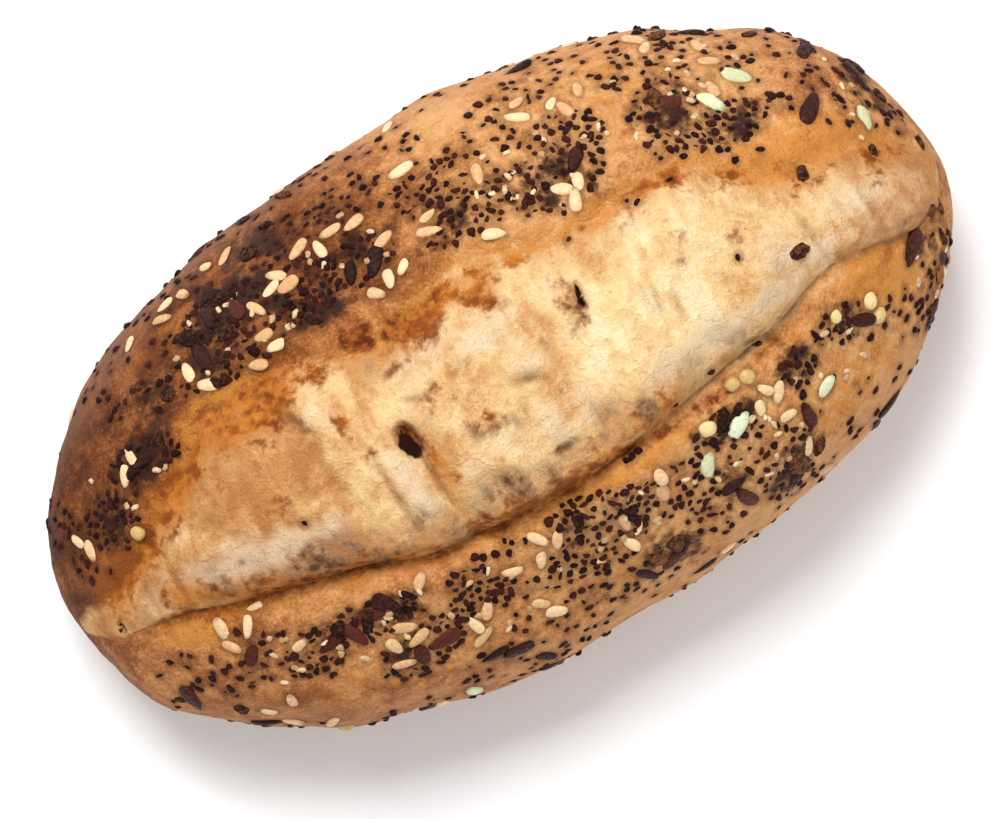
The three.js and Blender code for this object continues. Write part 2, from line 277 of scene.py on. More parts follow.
@dataclass(frozen=True)
class Loaf:
    """The whole roll without its burst: a dome over a belly that is cut off flat at the base.

    Attributes:
        length: Its length.
        width: Its width.
        waist_height: Height of its widest line.
        dome_rise: Height of the dome above that line.
        belly_drop: Depth of the whole belly below it.
        plan_power: Power of the outline's curve, 2 for an ellipse and more for a fuller one.
        dome_power: Power of the dome's curve.
        belly_power: Power of the belly's curve.
        firm_base: Height over which relief fades out towards the base.
        least_base_share: The least share of the half width that is flat below.
        waves: Its slow unevenness.
    """

    length: float = 129.6
    width: float = 73.6
    waist_height: float = 15.5
    dome_rise: float = 27.5
    belly_drop: float = 23.8
    plan_power: float = 2.2
    dome_power: float = 2.15
    belly_power: float = 2.2
    firm_base: float = 6.0
    least_base_share: float = 0.15
    waves: tuple[Wave, ...] = (
        Wave(0.45, (61, 47, 90), 0.6),
        Wave(0.3, (-29, 38, 55), 2.1),
        Wave(0.16, (17, -23, 31), 4.0),
    )

    @property
    def half_length(self) -> float:
        """Half the roll's length."""
        return self.length / 2

    @property
    def half_width(self) -> float:
        """Half the roll's width at its middle."""
        return self.width / 2

    def half_width_at(self, x: Array) -> Array:
        """Half the roll's width at places along it."""
        rest = 1.0 - np.abs(x / self.half_length) ** self.plan_power
        return self.half_width * np.maximum(rest, 0.0) ** (1.0 / self.plan_power)

    def plan_radius(self, x: Array, y: Array) -> Array:
        """How far out plan points lie: 0 at the middle, 1 at the outline.

        Args:
            x: Places along the roll.
            y: Places across it.

        Returns:
            One number for each place, at most 1.
        """
        along = np.abs(x / self.half_length) ** self.plan_power
        aside = np.abs(y / self.half_width) ** self.plan_power
        return np.minimum(1.0, (along + aside) ** (1.0 / self.plan_power))

    def base_share(self, x: Array) -> Array:
        """The half section's share where the flat base ends.

        Args:
            x: Places along the roll.

        Returns:
            One share for each place.
        """
        bend = self.belly_power
        edge = (1.0 - (self.waist_height / self.belly_drop) ** bend) ** (1.0 / bend)
        rest = edge**self.plan_power - np.abs(x / self.half_length) ** self.plan_power
        half = self.half_width * np.maximum(rest, 0.0) ** (1.0 / self.plan_power)
        return np.maximum(self.least_base_share, half / np.maximum(self.half_width_at(x), MM))

    def smooth_spots(self, x: Array, y: Array, below: Array) -> tuple[Array, Array]:
        """Points of the smooth dough without relief.

        Args:
            x: Places along the roll.
            y: Places across it.
            below: Whether each is on the belly, under the widest line.

        Returns:
            The points and their outward normals, one row each.
        """
        out = self.plan_radius(x, y)
        bend = np.where(below, self.belly_power, self.dome_power)
        rise = np.where(below, -self.belly_drop, self.dome_rise)
        reach = np.maximum(0.0, 1.0 - out**bend) ** (1.0 / bend)
        z = self.waist_height + rise * reach
        spread = np.where(out > 1e-6, np.maximum(out, 1e-6) ** (bend - self.plan_power), 0.0)
        power = self.plan_power - 1.0
        normals = np.stack(
            [
                spread * np.sign(x) * np.abs(x / self.half_length) ** power / self.half_length,
                spread * np.sign(y) * np.abs(y / self.half_width) ** power / self.half_width,
                reach ** (bend - 1.0) / rise,
            ],
            axis=1,
        )
        normals /= np.maximum(np.linalg.norm(normals, axis=1, keepdims=True), 1e-12)
        return np.stack([x, y, z], axis=1), normals

    def wave_lift(self, points: Array) -> Array:
        """Slow unevenness of the whole roll at points.

        Args:
            points: The points, one row each.

        Returns:
            How far each is lifted.
        """
        lift = np.zeros(len(points))
        for wave in self.waves:
            along = (points / np.array(wave.lengths)).sum(axis=1)
            lift += wave.height * np.sin(2.0 * math.pi * along + wave.phase)
        return lift


@dataclass(frozen=True)
class Fold:
    """A fold across the swollen dough: place along the roll, width, depth and lean."""

    at: float
    width: float
    depth: float
    lean: float


@dataclass(frozen=True)
class Band:
    """A soft band along an edge of the burst.

    Attributes:
        inside: How far inside the edge it runs, less than 0 for outside.
        width: How wide it is.
        strength: How strong it is in its middle.
        ragged: How far mottling moves it.
        mottled: How far mottling changes its strength.
    """

    inside: float
    width: float
    strength: float = 1.0
    ragged: float = 0.0
    mottled: float = 0.0

    def at(self, distance: Array, mottle: Array | float = 0.0) -> Array:
        """How strong the band is at distances inside the edge, with mottling there."""
        shape = bell(distance - self.inside + self.ragged * mottle, self.width)
        return (self.strength + self.mottled * mottle) * shape


@dataclass(frozen=True)
class Burst:
    """The long burst in the crust and the dough that swelled out of it.

    Attributes:
        loaf: The roll without its burst.
        near: The burst's steep edge.
        far: Its shallow edge.
        swell_rise: How far the dough swells up.
        near_round: How far inside the near edge the swell is rounded.
        far_round: How far inside the far edge.
        end_fade: How far from the roll's ends the burst fades out.
        crease_from: Where the near crease opens.
        crease_to: Where it closes.
        crease_fade: Over what length it opens and closes.
        crease_shallow: How deep it is elsewhere, as a share.
        near_crease: The crease along the near edge.
        near_lip: The crust's lip beside it.
        far_crease: The crease along the far edge.
        far_lip: The lip beside that.
        folds: Folds across the swell.
    """

    loaf: Loaf
    near: EdgeLine = EdgeLine(
        (
            (-62, -0.34), (-52, -0.28), (-45, -0.33), (-37, -0.37), (-28, -0.41), (-19, -0.47),
            (0, -0.5), (14, -0.46), (27, -0.43), (36, -0.4), (44, -0.34), (52, -0.43), (62, -0.7),
        )
    )
    far: EdgeLine = EdgeLine(
        (
            (-62, -0.04), (-52, 0.15), (-44, 0.33), (-36, 0.46), (-27, 0.45), (-12, 0.31),
            (3, 0.41), (15, 0.31), (25, 0.33), (34, 0.36), (45, 0.13), (54, 0.15), (62, 0.02),
        )
    )
    swell_rise: float = 3.2
    near_round: float = 7.5
    far_round: float = 12.0
    end_fade: float = 9.0
    crease_from: float = -46.0
    crease_to: float = 40.0
    crease_fade: float = 9.0
    crease_shallow: float = 0.25
    near_crease: Band = Band(0.0, 1.5, 1.9)
    near_lip: Band = Band(-3.2, 2.2, 0.9)
    far_crease: Band = Band(0.0, 1.9, 0.8)
    far_lip: Band = Band(-2.2, 2.0, 0.7)
    folds: tuple[Fold, ...] = (
        Fold(-49, 2.2, 0.7, -0.2),
        Fold(-26, 1.8, 0.8, -0.22),
        Fold(-15, 2.3, 1.5, -0.12),
        Fold(8, 2.4, 0.9, -0.1),
        Fold(24, 1.9, 0.6, -0.25),
        Fold(43, 2.6, 1.0, -0.3),
    )

    def insides(self, x: Array, y: Array) -> tuple[Array, Array]:
        """How far places lie inside the near edge and inside the far edge."""
        half = self.loaf.half_width_at(x)
        return y - self.near.at(x) * half, self.far.at(x) * half - y

    def ends(self, x: Array) -> Array:
        """Fades the burst's relief out at the roll's two ends."""
        return smooth((self.loaf.half_length - np.abs(x)) / self.end_fade)

    def openness(self, x: Array) -> Array:
        """1 where the near crease is open, 0 past its ends."""
        start = smooth((x - self.crease_from) / self.crease_fade + 0.5)
        return start * smooth((self.crease_to - x) / self.crease_fade + 0.5)

    def relief(self, x: Array, y: Array) -> Array:
        """The burst's relief at plan points: creases and lips, and the swell between them.

        Args:
            x: Places along the roll.
            y: Places across it.

        Returns:
            How far the dough is lifted at each place.
        """
        in_near, in_far = self.insides(x, y)
        creased = self.crease_shallow + (1.0 - self.crease_shallow) * self.openness(x)
        flank = 1.0 - np.clip(in_near / self.near_round, 0.0, 1.0)
        inside = np.sqrt(1.0 - flank**2) * smooth(in_far / self.far_round)
        folded = np.zeros(np.shape(x))
        for fold in self.folds:
            folded += fold.depth * bell(x - fold.at - fold.lean * y, fold.width)
        near_edge = self.near_lip.at(in_near) - self.near_crease.at(in_near)
        far_edge = self.far_lip.at(in_far) - self.far_crease.at(in_far)
        shape = inside * (self.swell_rise - folded) + creased * near_edge + far_edge
        return self.ends(x) * shape


class Mark(Enum):
    """The kinds of small marks on the roll: what the oven left, and painted shade in holes, cracks,
    on the near flank and among seeds.
    """

    HOLE = "hole"
    BLACK = "black"
    BLISTER = "blister"
    BURNT = "burnt blister"
    SCORCH = "scorch"
    GOLD = "gold"
    FLOUR = "flour"
    TOAST_AND_SHADE = "toast_and_shade"
    CREAM = "cream"
    LINE = "line"
    STAIN_AND_SHADE = "stain_and_seed_shade"
    GLAZE = "glaze"


MARKS: dict[Mark, tuple[Oval, ...]] = {
    Mark.HOLE: ovals(
        (-14.7, -2.2, 1.35, 2.5, 8), (13.9, 3.2, 0.42, 1.9, -12), (-60, -4.2, 0.4, 0.9, 0, 0.6),
    ),
    # Painted shade inside the holes.
    Mark.BLACK: ovals(
        (-15, -2.5, 1, 2.2, 10), (13.9, 3.2, 0.36, 1.8, -12), (-60, -4.2, 0.4, 0.9, 0, 0.8),
    ),
    Mark.BLISTER: ovals(
        (2.7, -10.2, 1.6, 2.9), (7.4, -8.8, 1.3, 2.4, 0, 0.6), (10.2, -12, 1.7, 2.5, 0, 0.6),
        (-19, -12.1, 0.9, 1, 0, 0.5), (4, -5.4, 1.6, 1.2, -20, 0.4),
    ),
    Mark.BURNT: ovals(
        (-13.9, 13.1, 2.1, 2.1, 0, 0.9), (-9, 11.6, 1.8, 1.6, 20, 0.7),
    ),
    Mark.SCORCH: ovals(
        (-13.7, 12.9, 2.3, 2.2, 0, 0.85), (-9.2, 11.7, 2.1, 1.6, 20, 0.8),
        (-8.6, 9.5, 0.6, 0.8, 0, 0.9), (-2.3, 12.1, 0.8, 0.6, -20, 0.8),
        (3.9, 7.8, 2, 1.1, -35, 0.42), (-14.6, -1.9, 1.5, 2.5, 8, 0.9),
        (-33, 12.6, 5, 2.4, 0, 0.4), (-26.5, 13, 2.4, 1.6, 0, 0.42), (-29, 8.8, 3.4, 1, -20, 0.36),
        (-47.5, 8.6, 3, 1.4, 20, 0.4), (-4, 12.6, 3.4, 0.9, 6, 0.4), (24, 12.4, 5, 0.8, 4, 0.16),
        (43, 7.2, 3, 1, -24, 0.2), (13.4, -0.4, 0.5, 0.8, 0, 0.5), (6.8, 0, 0.8, 1.1, 0, 0.34),
        (47, 3, 1.5, 1.7, 30, 0.5), (45.4, 4.6, 1.3, 0.9, -40, 0.42),
        (57.2, 0.2, 0.9, 1.2, 30, 0.4), (28.3, 3.2, 0.55, 1.6, 12, 0.34),
        (36.2, 0.2, 0.9, 1.5, 0, 0.3), (30.9, -3.3, 0.45, 0.5, 0, 0.34),
        (-41.9, 1.2, 1, 1.6, 0, 0.28), (-28.5, -2, 1.2, 0.9, 0, 0.28),
        (-51.5, 3.6, 1, 1.2, 0, 0.4), (-37, -10.9, 5, 0.9, -12, 0.72),
        (-28.5, -13.2, 3.2, 0.8, -14, 0.6), (-46.5, -6.8, 3.2, 0.7, -30, 0.6),
        (32.3, -15, 3, 0.5, 14, 0.7), (12, -17.6, 8, 0.9, 0, 0.8), (22.5, -17.1, 5, 0.9, 4, 0.8),
        (41, -13.3, 2.4, 0.4, 6, 0.5), (-18, -16.9, 3, 0.6, -10, 0.5),
        (-11.3, -16, 0.5, 1.1, 0, 0.5), (46.2, -9.2, 0.8, 0.8, 0, 0.4),
    ),
    Mark.GOLD: ovals(
        (-32, 11.5, 6.5, 3.6, 0, 0.95), (-44.5, 7.5, 5, 2.6, 18, 0.6), (-35, 3, 6, 5, 0, 0.42),
        (-54, 2.5, 4, 2.2, 20, 0.5), (-20.6, 4.5, 1.2, 6.5, 4, 0.5), (-5, 11.6, 5.5, 1.7, 5, 0.9),
        (2.6, 9.8, 2.6, 2.8, -30, 0.7), (8.6, 11.9, 1.2, 1, 0, 0.6),
        (-12.6, -7.6, 1.5, 4.8, -6, 0.75), (-4.2, -3.9, 2.7, 3, 0, 0.4),
        (4.2, -5.4, 1.7, 1.2, -20, 0.5), (12.2, 2.4, 2, 3.6, 0, 0.36), (21, 11.8, 7, 1.6, 0, 0.4),
        (31, 10.8, 5, 1.8, 0, 0.4), (-9, 9, 5, 2, 0, 0.35), (-8.6, 0.5, 3, 2.4, 0, 0.3),
        (58, -1.5, 4, 3, 0, 0.35), (38.5, 8, 4, 2.2, -20, 0.4), (45.5, 5.6, 6, 3.2, -12, 0.6),
        (54, 4, 7, 2.6, -8, 0.6), (17, 8, 1.2, 1.6, 0, 0.4), (-49, -5.2, 4.5, 1.6, -30, 0.75),
        (-41.5, -9, 5, 1.3, -22, 0.8), (-33, -11.7, 6, 1, -12, 0.7),
        (-24.5, -14.2, 4, 0.9, -14, 0.5), (-58, -1, 2, 3, 0, 0.3), (36, 0.5, 2, 2.4, 0, 0.25),
        (28, 3.5, 2, 3, 0, 0.3),
    ),
    Mark.FLOUR: ovals(
        (-40, -5.4, 8.5, 2.6, -14, 0.9), (-30, -7, 4, 1.8, 0, 0.7),
        (-17.2, -7.2, 1.9, 5.2, 3, 0.85), (-8.5, 7, 4, 2.6, 0, 0.55), (1, 5.4, 5, 2.8, 0, 0.6),
        (4, -0.8, 2.8, 1.8, -20, 0.55), (2.7, -9.6, 1.8, 3, 0, 0.8), (7.6, -8.4, 1.6, 3.2, 0, 0.6),
        (-3.6, -9.4, 2.6, 2.6, 0, 0.35), (-9, -10.5, 2.4, 2.4, 0, 0.4),
        (-23.5, 7.5, 3, 3.4, 0, 0.3), (24.9, 8.7, 2.2, 1.8, 0, 0.5), (39.5, -6, 3.2, 3.4, 0, 0.65),
        (20, -11, 4.5, 1.9, 6, 0.75), (28, -10.2, 4.5, 1.9, 10, 0.85),
        (36, -9.2, 4.5, 1.7, 8, 0.95), (44.5, -7.2, 4, 1.5, 4, 0.7), (54, -4.6, 8, 4, 0, 0.5),
        (-55, -2, 3.6, 2.4, 0, 0.45), (31.5, 7, 2.6, 1.8, 0, 0.35),
    ),
    # Toasted places; those along the near flank also hold painted shade.
    Mark.TOAST_AND_SHADE: ovals(
        (-32, -9.6, 5, 2, -6, 0.95), (-41.4, -5.2, 0.6, 0.8, 0, 0.8),
        (-44, -7, 3.6, 1.2, -24, 0.45), (-45.3, -3.4, 1.2, 1.4, 0, 0.3),
        (-19.3, -12.6, 1.8, 2.2, 0, 0.8), (-24.5, -13.2, 3.2, 1.4, -6, 0.6),
        (-14.2, -15.4, 2, 1.6, 0, 0.6), (-6.2, -13.9, 3.2, 1.9, -34, 0.85),
        (-0.6, -15.6, 2.4, 1.2, 0, 0.5), (2.7, -12.9, 1.5, 0.7, 0, 1),
        (-6.9, -5.6, 1, 1.3, 0, 0.5), (-1.2, -7.2, 0.6, 1.4, 8, 0.4),
        (0.2, -6.4, 0.4, 1.2, 8, 0.4), (2.6, -2.2, 2, 0.9, -18, 0.35),
        (7.2, -1.6, 0.9, 2.4, 0, 0.35), (10.2, -12.6, 1.8, 2.6, 0, 0.6),
        (14.2, -13.9, 1.4, 2, 0, 0.8), (17.8, -12.4, 0.5, 1.7, 0, 0.8),
        (19.2, -12.6, 0.6, 1.7, 0, 0.7), (22.5, -2.4, 0.5, 2.2, -8, 0.35),
        (12.4, 2, 1.3, 2.4, -8, 0.2), (29.5, -12, 4.6, 1.5, 14, 0.25), (38, -12, 4.6, 1, 6, 0.2),
        (-13, 8.6, 3.4, 1.8, 0, 0.4), (-26, 6.6, 0.5, 1.6, -22, 0.55),
        (38.6, -7, 1.2, 1.8, 0, 0.35), (52.5, -10.6, 3, 0.8, 0, 0.4), (59.5, -9.6, 2, 1.2, 0, 0.5),
    ),
    Mark.CREAM: ovals(
        (-23, -6.5, 2.6, 6.2, 3, 1), (-22.5, 9.5, 3.2, 3.2, 0, 0.6), (14.5, -4.5, 5, 6.4, 0, 0.9),
        (24, -4.5, 6.5, 5.4, 0, 0.95), (27, 4.5, 8, 4.6, 0, 0.7), (10, 7, 4, 3.6, 0, 0.5),
        (38.5, 3.4, 5.5, 3.6, 0, 0.55), (51, -2.6, 8, 3, 0, 0.45), (-49.5, 2.6, 3.4, 2.6, 0, 0.5),
        (-45, 4.2, 3.4, 1.8, 0, 0.4), (-2, -12, 3, 2, 0, 0.4),
    ),
    # Fine cracks and the crease line, coloured darker: painted shade in these grooves.
    Mark.LINE: ovals(
        (-19.7, -7.4, 0.45, 5.2, 2, 0.6), (-14.1, -7.2, 0.42, 4, 4, 0.8),
        (-50.2, -3, 0.42, 3.2, 0, 0.6), (-54.3, -2, 0.42, 2.2, 0, 0.5),
        (-57.3, 1.6, 0.4, 2, -6, 0.5), (2.9, -3.1, 2, 0.4, -22, 0.6),
        (2.7, -13.1, 1.4, 0.45, 0, 0.9), (-26.3, 7.6, 0.42, 1.7, 20, 0.8),
        (-25.6, 5.6, 0.9, 0.42, -35, 0.8), (-27.8, 9.6, 0.42, 1, 10, 0.6),
        (-11.6, 2.2, 1.6, 0.4, -24, 0.5), (-4.6, 2.8, 1.2, 0.4, 28, 0.4),
        (44.3, -5.5, 0.42, 5.4, 6, 0.3), (53, -5, 0.4, 3, 6, 0.28),
        (49.4, -3.4, 0.4, 2.4, 6, 0.25), (24.6, -4.2, 0.4, 2.2, -6, 0.4),
        (21.2, -1.6, 0.4, 2, -4, 0.35), (8.2, -11.5, 0.4, 2.4, 0, 0.5),
        (-6, -17.2, 7, 0.45, 0, 0.45),
    ),
    # Darker crust among the densest seeds: stained crust with painted shade between the seeds.
    Mark.STAIN_AND_SHADE: ovals(
        (-26, 24, 8.5, 4, 6, 0.85), (-33, 20, 3.5, 3, 0, 0.6), (-16, 19.5, 5, 2.6, -8, 0.7),
        (-21, 30, 4, 2.6, 0, 0.5), (-8, 22.5, 5, 3, 0, 0.55), (-46, 13.5, 4, 2.4, 20, 0.75),
        (-54, 9, 2.6, 3.4, 0, 0.5), (-41, 20, 4, 3, 30, 0.45), (5, 20.5, 6, 3, 0, 0.45),
        (19.5, 18, 6, 3.4, -10, 0.6), (36, 19, 4.5, 3.4, 0, 0.5), (43, 13.5, 5, 2.6, -16, 0.5),
        (-32, -19.8, 6.5, 1.8, -4, 0.8), (-28, -26, 4, 2.4, 0, 0.45), (-1, -22.5, 3.4, 2, 0, 0.6),
        (4.5, -24.5, 4.5, 2.2, -20, 0.6), (8.5, -31.5, 3, 2.4, 0, 0.6),
        (22.5, -21, 4.5, 2.4, -12, 0.75), (19, -28, 3, 3, 0, 0.5), (27.5, -30, 4, 2.2, 8, 0.7),
        (34, -19, 2.6, 2.4, 0, 0.5), (42, -17.6, 2.6, 2.4, 0, 0.6), (57.5, -14, 2.4, 4.4, 10, 0.6),
        (61, 9, 2.4, 4, 0, 0.45),
    ),
    Mark.GLAZE: ovals(
        (-50.5, -8.2, 6.5, 4, -20, 0.85), (50, -14, 5.5, 4.5, -10, 0.95),
        (40, -16.5, 8, 2.5, 8, 0.5), (38, -24.5, 8, 3.5, 8, 0.6), (50, 7.5, 9, 3.6, -12, 0.5),
        (-58.5, 4, 3, 4, 0, 0.7), (-35, 25.5, 7, 2.2, 12, 0.5), (13, -19.6, 14, 1.6, 0, 0.6),
        (30, 24, 6, 6, 0, 0.35), (-42, -24, 10, 4, -20, 0.3), (-38, 14.5, 4, 2, 0, 0.7),
    ),
}


SOFTNESS: dict[Mark, float] = {
    Mark.HOLE: 0.3, Mark.BLACK: 0.45, Mark.SCORCH: 0.5, Mark.GOLD: 0.8, Mark.FLOUR: 0.9,
    Mark.TOAST_AND_SHADE: 0.8, Mark.CREAM: 0.7, Mark.LINE: 0.9, Mark.STAIN_AND_SHADE: 0.8, Mark.GLAZE: 0.6,
}


def marked(mark: Mark, x: Array, y: Array) -> Array:
    """How strong one kind of mark is at places along the roll and across it."""
    covers = [oval.cover(x, y, SOFTNESS[mark]) for oval in MARKS[mark]]
    return np.max(covers, axis=0)


@dataclass
class Skin:
    """The roll's outer surface: its form, its fine relief, how the oven coloured it, and its
    painted shade and sheen.

    Attributes:
        loaf: The roll without its burst.
        burst: The burst.
        far_edge: How the dough's far edge is ragged.
        near_edge: How its near edge is wavy.
        blisters: The crust's small blisters.
        wrinkles: The crust's wrinkles.
        lean: How far the dough's strands lean along the roll for each mm across it.
        wander: How far they wander along it.
        lumps: The dough's lumps.
        strands: Its stretched strands.
        columns: The columns on its steep flank.
        torn: The torn lip.
        steep: Where the flank lies.
        lip: Where the lip lies.
        crease_fill: What fills the crease's floor.
        loose: How far coarse marks wander along the roll and across it.
        tight: How far fine marks wander.
        mottle: How the colours vary.
        lip_gold: Gold along the lip.
        far_gold: Gold along the far edge.
        flank_toast_and_shade: Toasted dough on the flank, with painted shade where the swell turns
            down to the crease.
        crease_scorch_and_shade: Scorching and painted shade in the crease.
        blister_height: Height of the strongest blister.
        hole_depth: Depth of the holes.
        line_depth: Depth of the fine lines.
        ring_width: Width of a blister's burnt ring, as a share of its size.
    """

    loaf: Loaf
    burst: Burst
    far_edge: Grain = Grain(7.0, 11, 3, 1.8)
    near_edge: Grain = Grain(4.0, 12, 2, 0.5)
    blisters: Grain = Grain(6.5, 21, 2, 0.26)
    wrinkles: Grain = Grain(2.2, 22, 2, 0.12)
    lean: float = 0.12
    wander: Grain = Grain(16.0, 30, 2, 2.2)
    lumps: Grain = Grain(10.0, 33, 3, 0.55)
    strands: Grain = Grain((3.6, 15.0, 15.0), 31, 3, 0.5)
    columns: Grain = Grain((2.8, 9.0, 9.0), 32, 2, 1.05)
    torn: Grain = Grain((3.4, 2.2, 2.2), 34, 3, 0.7)
    steep: Band = Band(4.0, 3.6)
    lip: Band = Band(-0.6, 2.6)
    crease_fill: Band = Band(0.0, 1.3, 0.7)
    loose: tuple[Grain, Grain] = (Grain(6.0, 41, 3, 1.3), Grain(6.0, 42, 3, 1.3))
    tight: tuple[Grain, Grain] = (Grain(1.4, 43, 2, 0.3), Grain(1.4, 44, 2, 0.3))
    mottle: Grain = Grain(6.0, 46, 3)
    lip_gold: Band = Band(1.1, 2.8, 0.74, 1.8, 0.3)
    far_gold: Band = Band(0.6, 3.2, 1.0, 1.5)
    flank_toast_and_shade: Band = Band(3.6, 2.2, 0.6, 0.0, 0.5)
    crease_scorch_and_shade: Band = Band(0.0, 0.9, 0.2, 0.0, 0.5)
    blister_height: float = 0.5
    hole_depth: float = 2.2
    line_depth: float = 0.55
    ring_width: float = 0.18

    def form(self, x: Array, across: Array, below: Array) -> tuple[Array, Array]:
        """Points of the roll's form, without its fine relief.

        Args:
            x: Places along the roll.
            across: Shares of the half width there, from -1 to 1.
            below: Whether each is under the widest line.

        Returns:
            The points and the smooth dough's normals there, one row each.
        """
        y = across * self.loaf.half_width_at(x)
        points, normals = self.loaf.smooth_spots(x, y, below)
        lift = self.loaf.wave_lift(points) * climb(points[:, 2], 0, self.loaf.firm_base)
        lift += np.where(below, 0.0, self.burst.relief(x, y))
        return self._raised(points, normals, lift), normals

    def spots(self, x: Array, across: Array, below: Array) -> tuple[Array, Array]:
        """Points of the finished surface, as the form's with the fine relief on them.

        Args:
            x: Places along the roll.
            across: Shares of the half width there, from -1 to 1.
            below: Whether each is under the widest line.

        Returns:
            The points and the smooth dough's normals there, one row each.
        """
        points, normals = self.form(x, across, below)
        crust = self.blisters.at(points) + self.wrinkles.at(points)
        lift = crust * climb(points[:, 2], 0, self.loaf.firm_base)
        lift += np.where(below, 0.0, self.burst_detail(points))
        return self._raised(points, normals, lift), normals

    @staticmethod
    def _raised(points: Array, normals: Array, lift: Array) -> Array:
        """Points lifted along their normals, with the flat base left at height 0.

        Args:
            points: The points, one row each.
            normals: Their normals, which are turned down on the base.
            lift: How far each is lifted.

        Returns:
            The lifted points.
        """
        flat = points[:, 2] <= 0
        normals[flat] = (0.0, 0.0, -1.0)
        raised = np.where(flat[:, None], points, points + normals * lift[:, None])
        raised[:, 2] = np.where(flat, 0.0, np.maximum(raised[:, 2], 0.0))
        return raised

    def dough_share(self, points: Array) -> Array:
        """1 on the burst's dough, 0 on the crust, with a ragged far edge and a sharp near one.

        Args:
            points: Points of the form, one row each.

        Returns:
            One share for each point.
        """
        x, y = points[:, 0], points[:, 1]
        in_near, in_far = self.burst.insides(x, y)
        far_share = smooth((in_far + self.far_edge.at(points)) / 3.4 + 0.35)
        return far_share * smooth((in_near + self.near_edge.at(points)) / 1.6 + 0.5)

    def burst_detail(self, points: Array) -> Array:
        """Lumps, stretched strands, blisters and holes of the burst dough.

        Args:
            points: Points of the form, one row each.

        Returns:
            How far each is lifted.
        """
        x, y = points[:, 0], points[:, 1]
        in_near, _ = self.burst.insides(x, y)
        dough = self.dough_share(points) * self.burst.ends(x)
        leaning = points.copy()
        leaning[:, 0] += self.lean * y + self.wander.at(points)
        flank = self.steep.at(in_near) * self.burst.openness(x)
        uneven = self.lumps.at(points) + self.strands.at(leaning)
        lift = dough * (uneven + flank * self.columns.at(leaning))
        lift += self.lip.at(in_near) * self.burst.ends(x) * self.torn.at(points)
        filled = 0.4 + 0.6 * climb(x, 2, 18)
        lift += self.crease_fill.at(in_near) * self.burst.openness(x) * filled
        lift += self.blister_height * self._domes(x, y)
        lift -= self.hole_depth * marked(Mark.HOLE, x, y)
        lift -= self.line_depth * marked(Mark.LINE, x, y)
        return lift

    @staticmethod
    def _domes(x: Array, y: Array) -> Array:
        """How high the round blisters stand at places, as a share of the highest."""
        domes = [oval.dome(x, y) for oval in MARKS[Mark.BLISTER] + MARKS[Mark.BURNT]]
        return np.max(domes, axis=0)

    def colouring(self, points: Array) -> dict[str, Array]:
        """How the oven and the flour coloured each point, with painted shade and painted sheen
        among the shares.

        Args:
            points: Points of the surface.

        Returns:
            Named shares from 0 to 1, one for each point.
        """
        x, y, height = points.T
        loose = [place + grain.at(points) for place, grain in zip((x, y), self.loose)]
        tight = [place + grain.at(points) for place, grain in zip((x, y), self.tight)]
        in_near, in_far = self.burst.insides(x, y)
        top = climb(height, 14, 20)
        dough = self.dough_share(points) * top
        out = self.loaf.plan_radius(x, y)
        mottle = self.mottle.at(points)
        open_here = self.burst.openness(x)

        calm_right = 1.0 - 0.8 * climb(x, 16, 24)
        lip_gold = self.lip_gold.at(in_near, mottle) * open_here * calm_right
        far_gold = self.far_gold.at(in_far, mottle) * self.burst.ends(x)
        far_gold *= 0.5 - 0.15 * climb(x, 8, 18)
        # Toasting with painted shade on the dough's near flank, which faces away from the light.
        flank_toast_and_shade = self.flank_toast_and_shade.at(in_near, mottle) * open_here
        flank_toast_and_shade *= 1.0 - 0.7 * climb(x, 18, 28)
        # Scorching and painted shade in the near crease.
        crease_scorch_and_shade = self.crease_scorch_and_shade.at(in_near, mottle) * open_here * calm_right

        gold = np.maximum(marked(Mark.GOLD, *loose) + far_gold, lip_gold)
        toast_and_shade = np.maximum(1.5 * marked(Mark.TOAST_AND_SHADE, *loose), flank_toast_and_shade)
        scorch = np.maximum(marked(Mark.SCORCH, *tight), crease_scorch_and_shade)
        scorch = np.maximum(scorch, 0.9 * self._burnt_rings(*tight))
        aside = climb(np.abs(y), 16, 25)
        return {
            "dough": dough,
            "bake_and_shade": self._bake_and_shade(x, y) + 0.1 * mottle,
            "light": self._paleness_and_shade(*loose) + 0.12 * mottle,
            "gold": np.clip(gold + marked(Mark.GLAZE, x, y) * (1 - dough), 0, 1) * top,
            "toast_and_shade": np.clip(toast_and_shade, 0, 1) * top,
            "flour": marked(Mark.FLOUR, *loose) * top,
            "stain_and_seed_shade": marked(Mark.STAIN_AND_SHADE, *loose) * top,
            "scorch": np.clip(scorch, 0, 1) * top,
            # Painted shade inside the holes.
            "painted_shade": marked(Mark.BLACK, *tight) * top,
            "line": marked(Mark.LINE, x, y) * top,
            # Painted sheen along the roll's edge, on both sides of the top.
            "painted_rim": climb(out, 0.9, 0.98) * climb(height, 6, 14) * aside,
            "under": 1.0 - climb(height, 0.5, 5.5),
        }

    def _burnt_rings(self, x: Array, y: Array) -> Array:
        """The darker rims of the blisters that burnt."""
        rings = [o.amount * bell(o.reach(x, y) - 1.0, self.ring_width) for o in MARKS[Mark.BURNT]]
        return np.max(rings, axis=0)

    @staticmethod
    def _paleness_and_shade(x: Array, y: Array) -> Array:
        """How pale the burst dough stayed: 0 for tan, 1 for cream. The tan towards the left end is
        partly painted shade.

        Args:
            x: Places along the roll.
            y: Places across it.

        Returns:
            One number for each place.
        """
        # Tan towards the left end, partly painted shade.
        left = climb(x, -19, -27)
        right = climb(x, 34, 62)
        creamy = marked(Mark.CREAM, x, y)
        return 0.54 - 0.32 * left - 0.36 * right + 0.32 * creamy

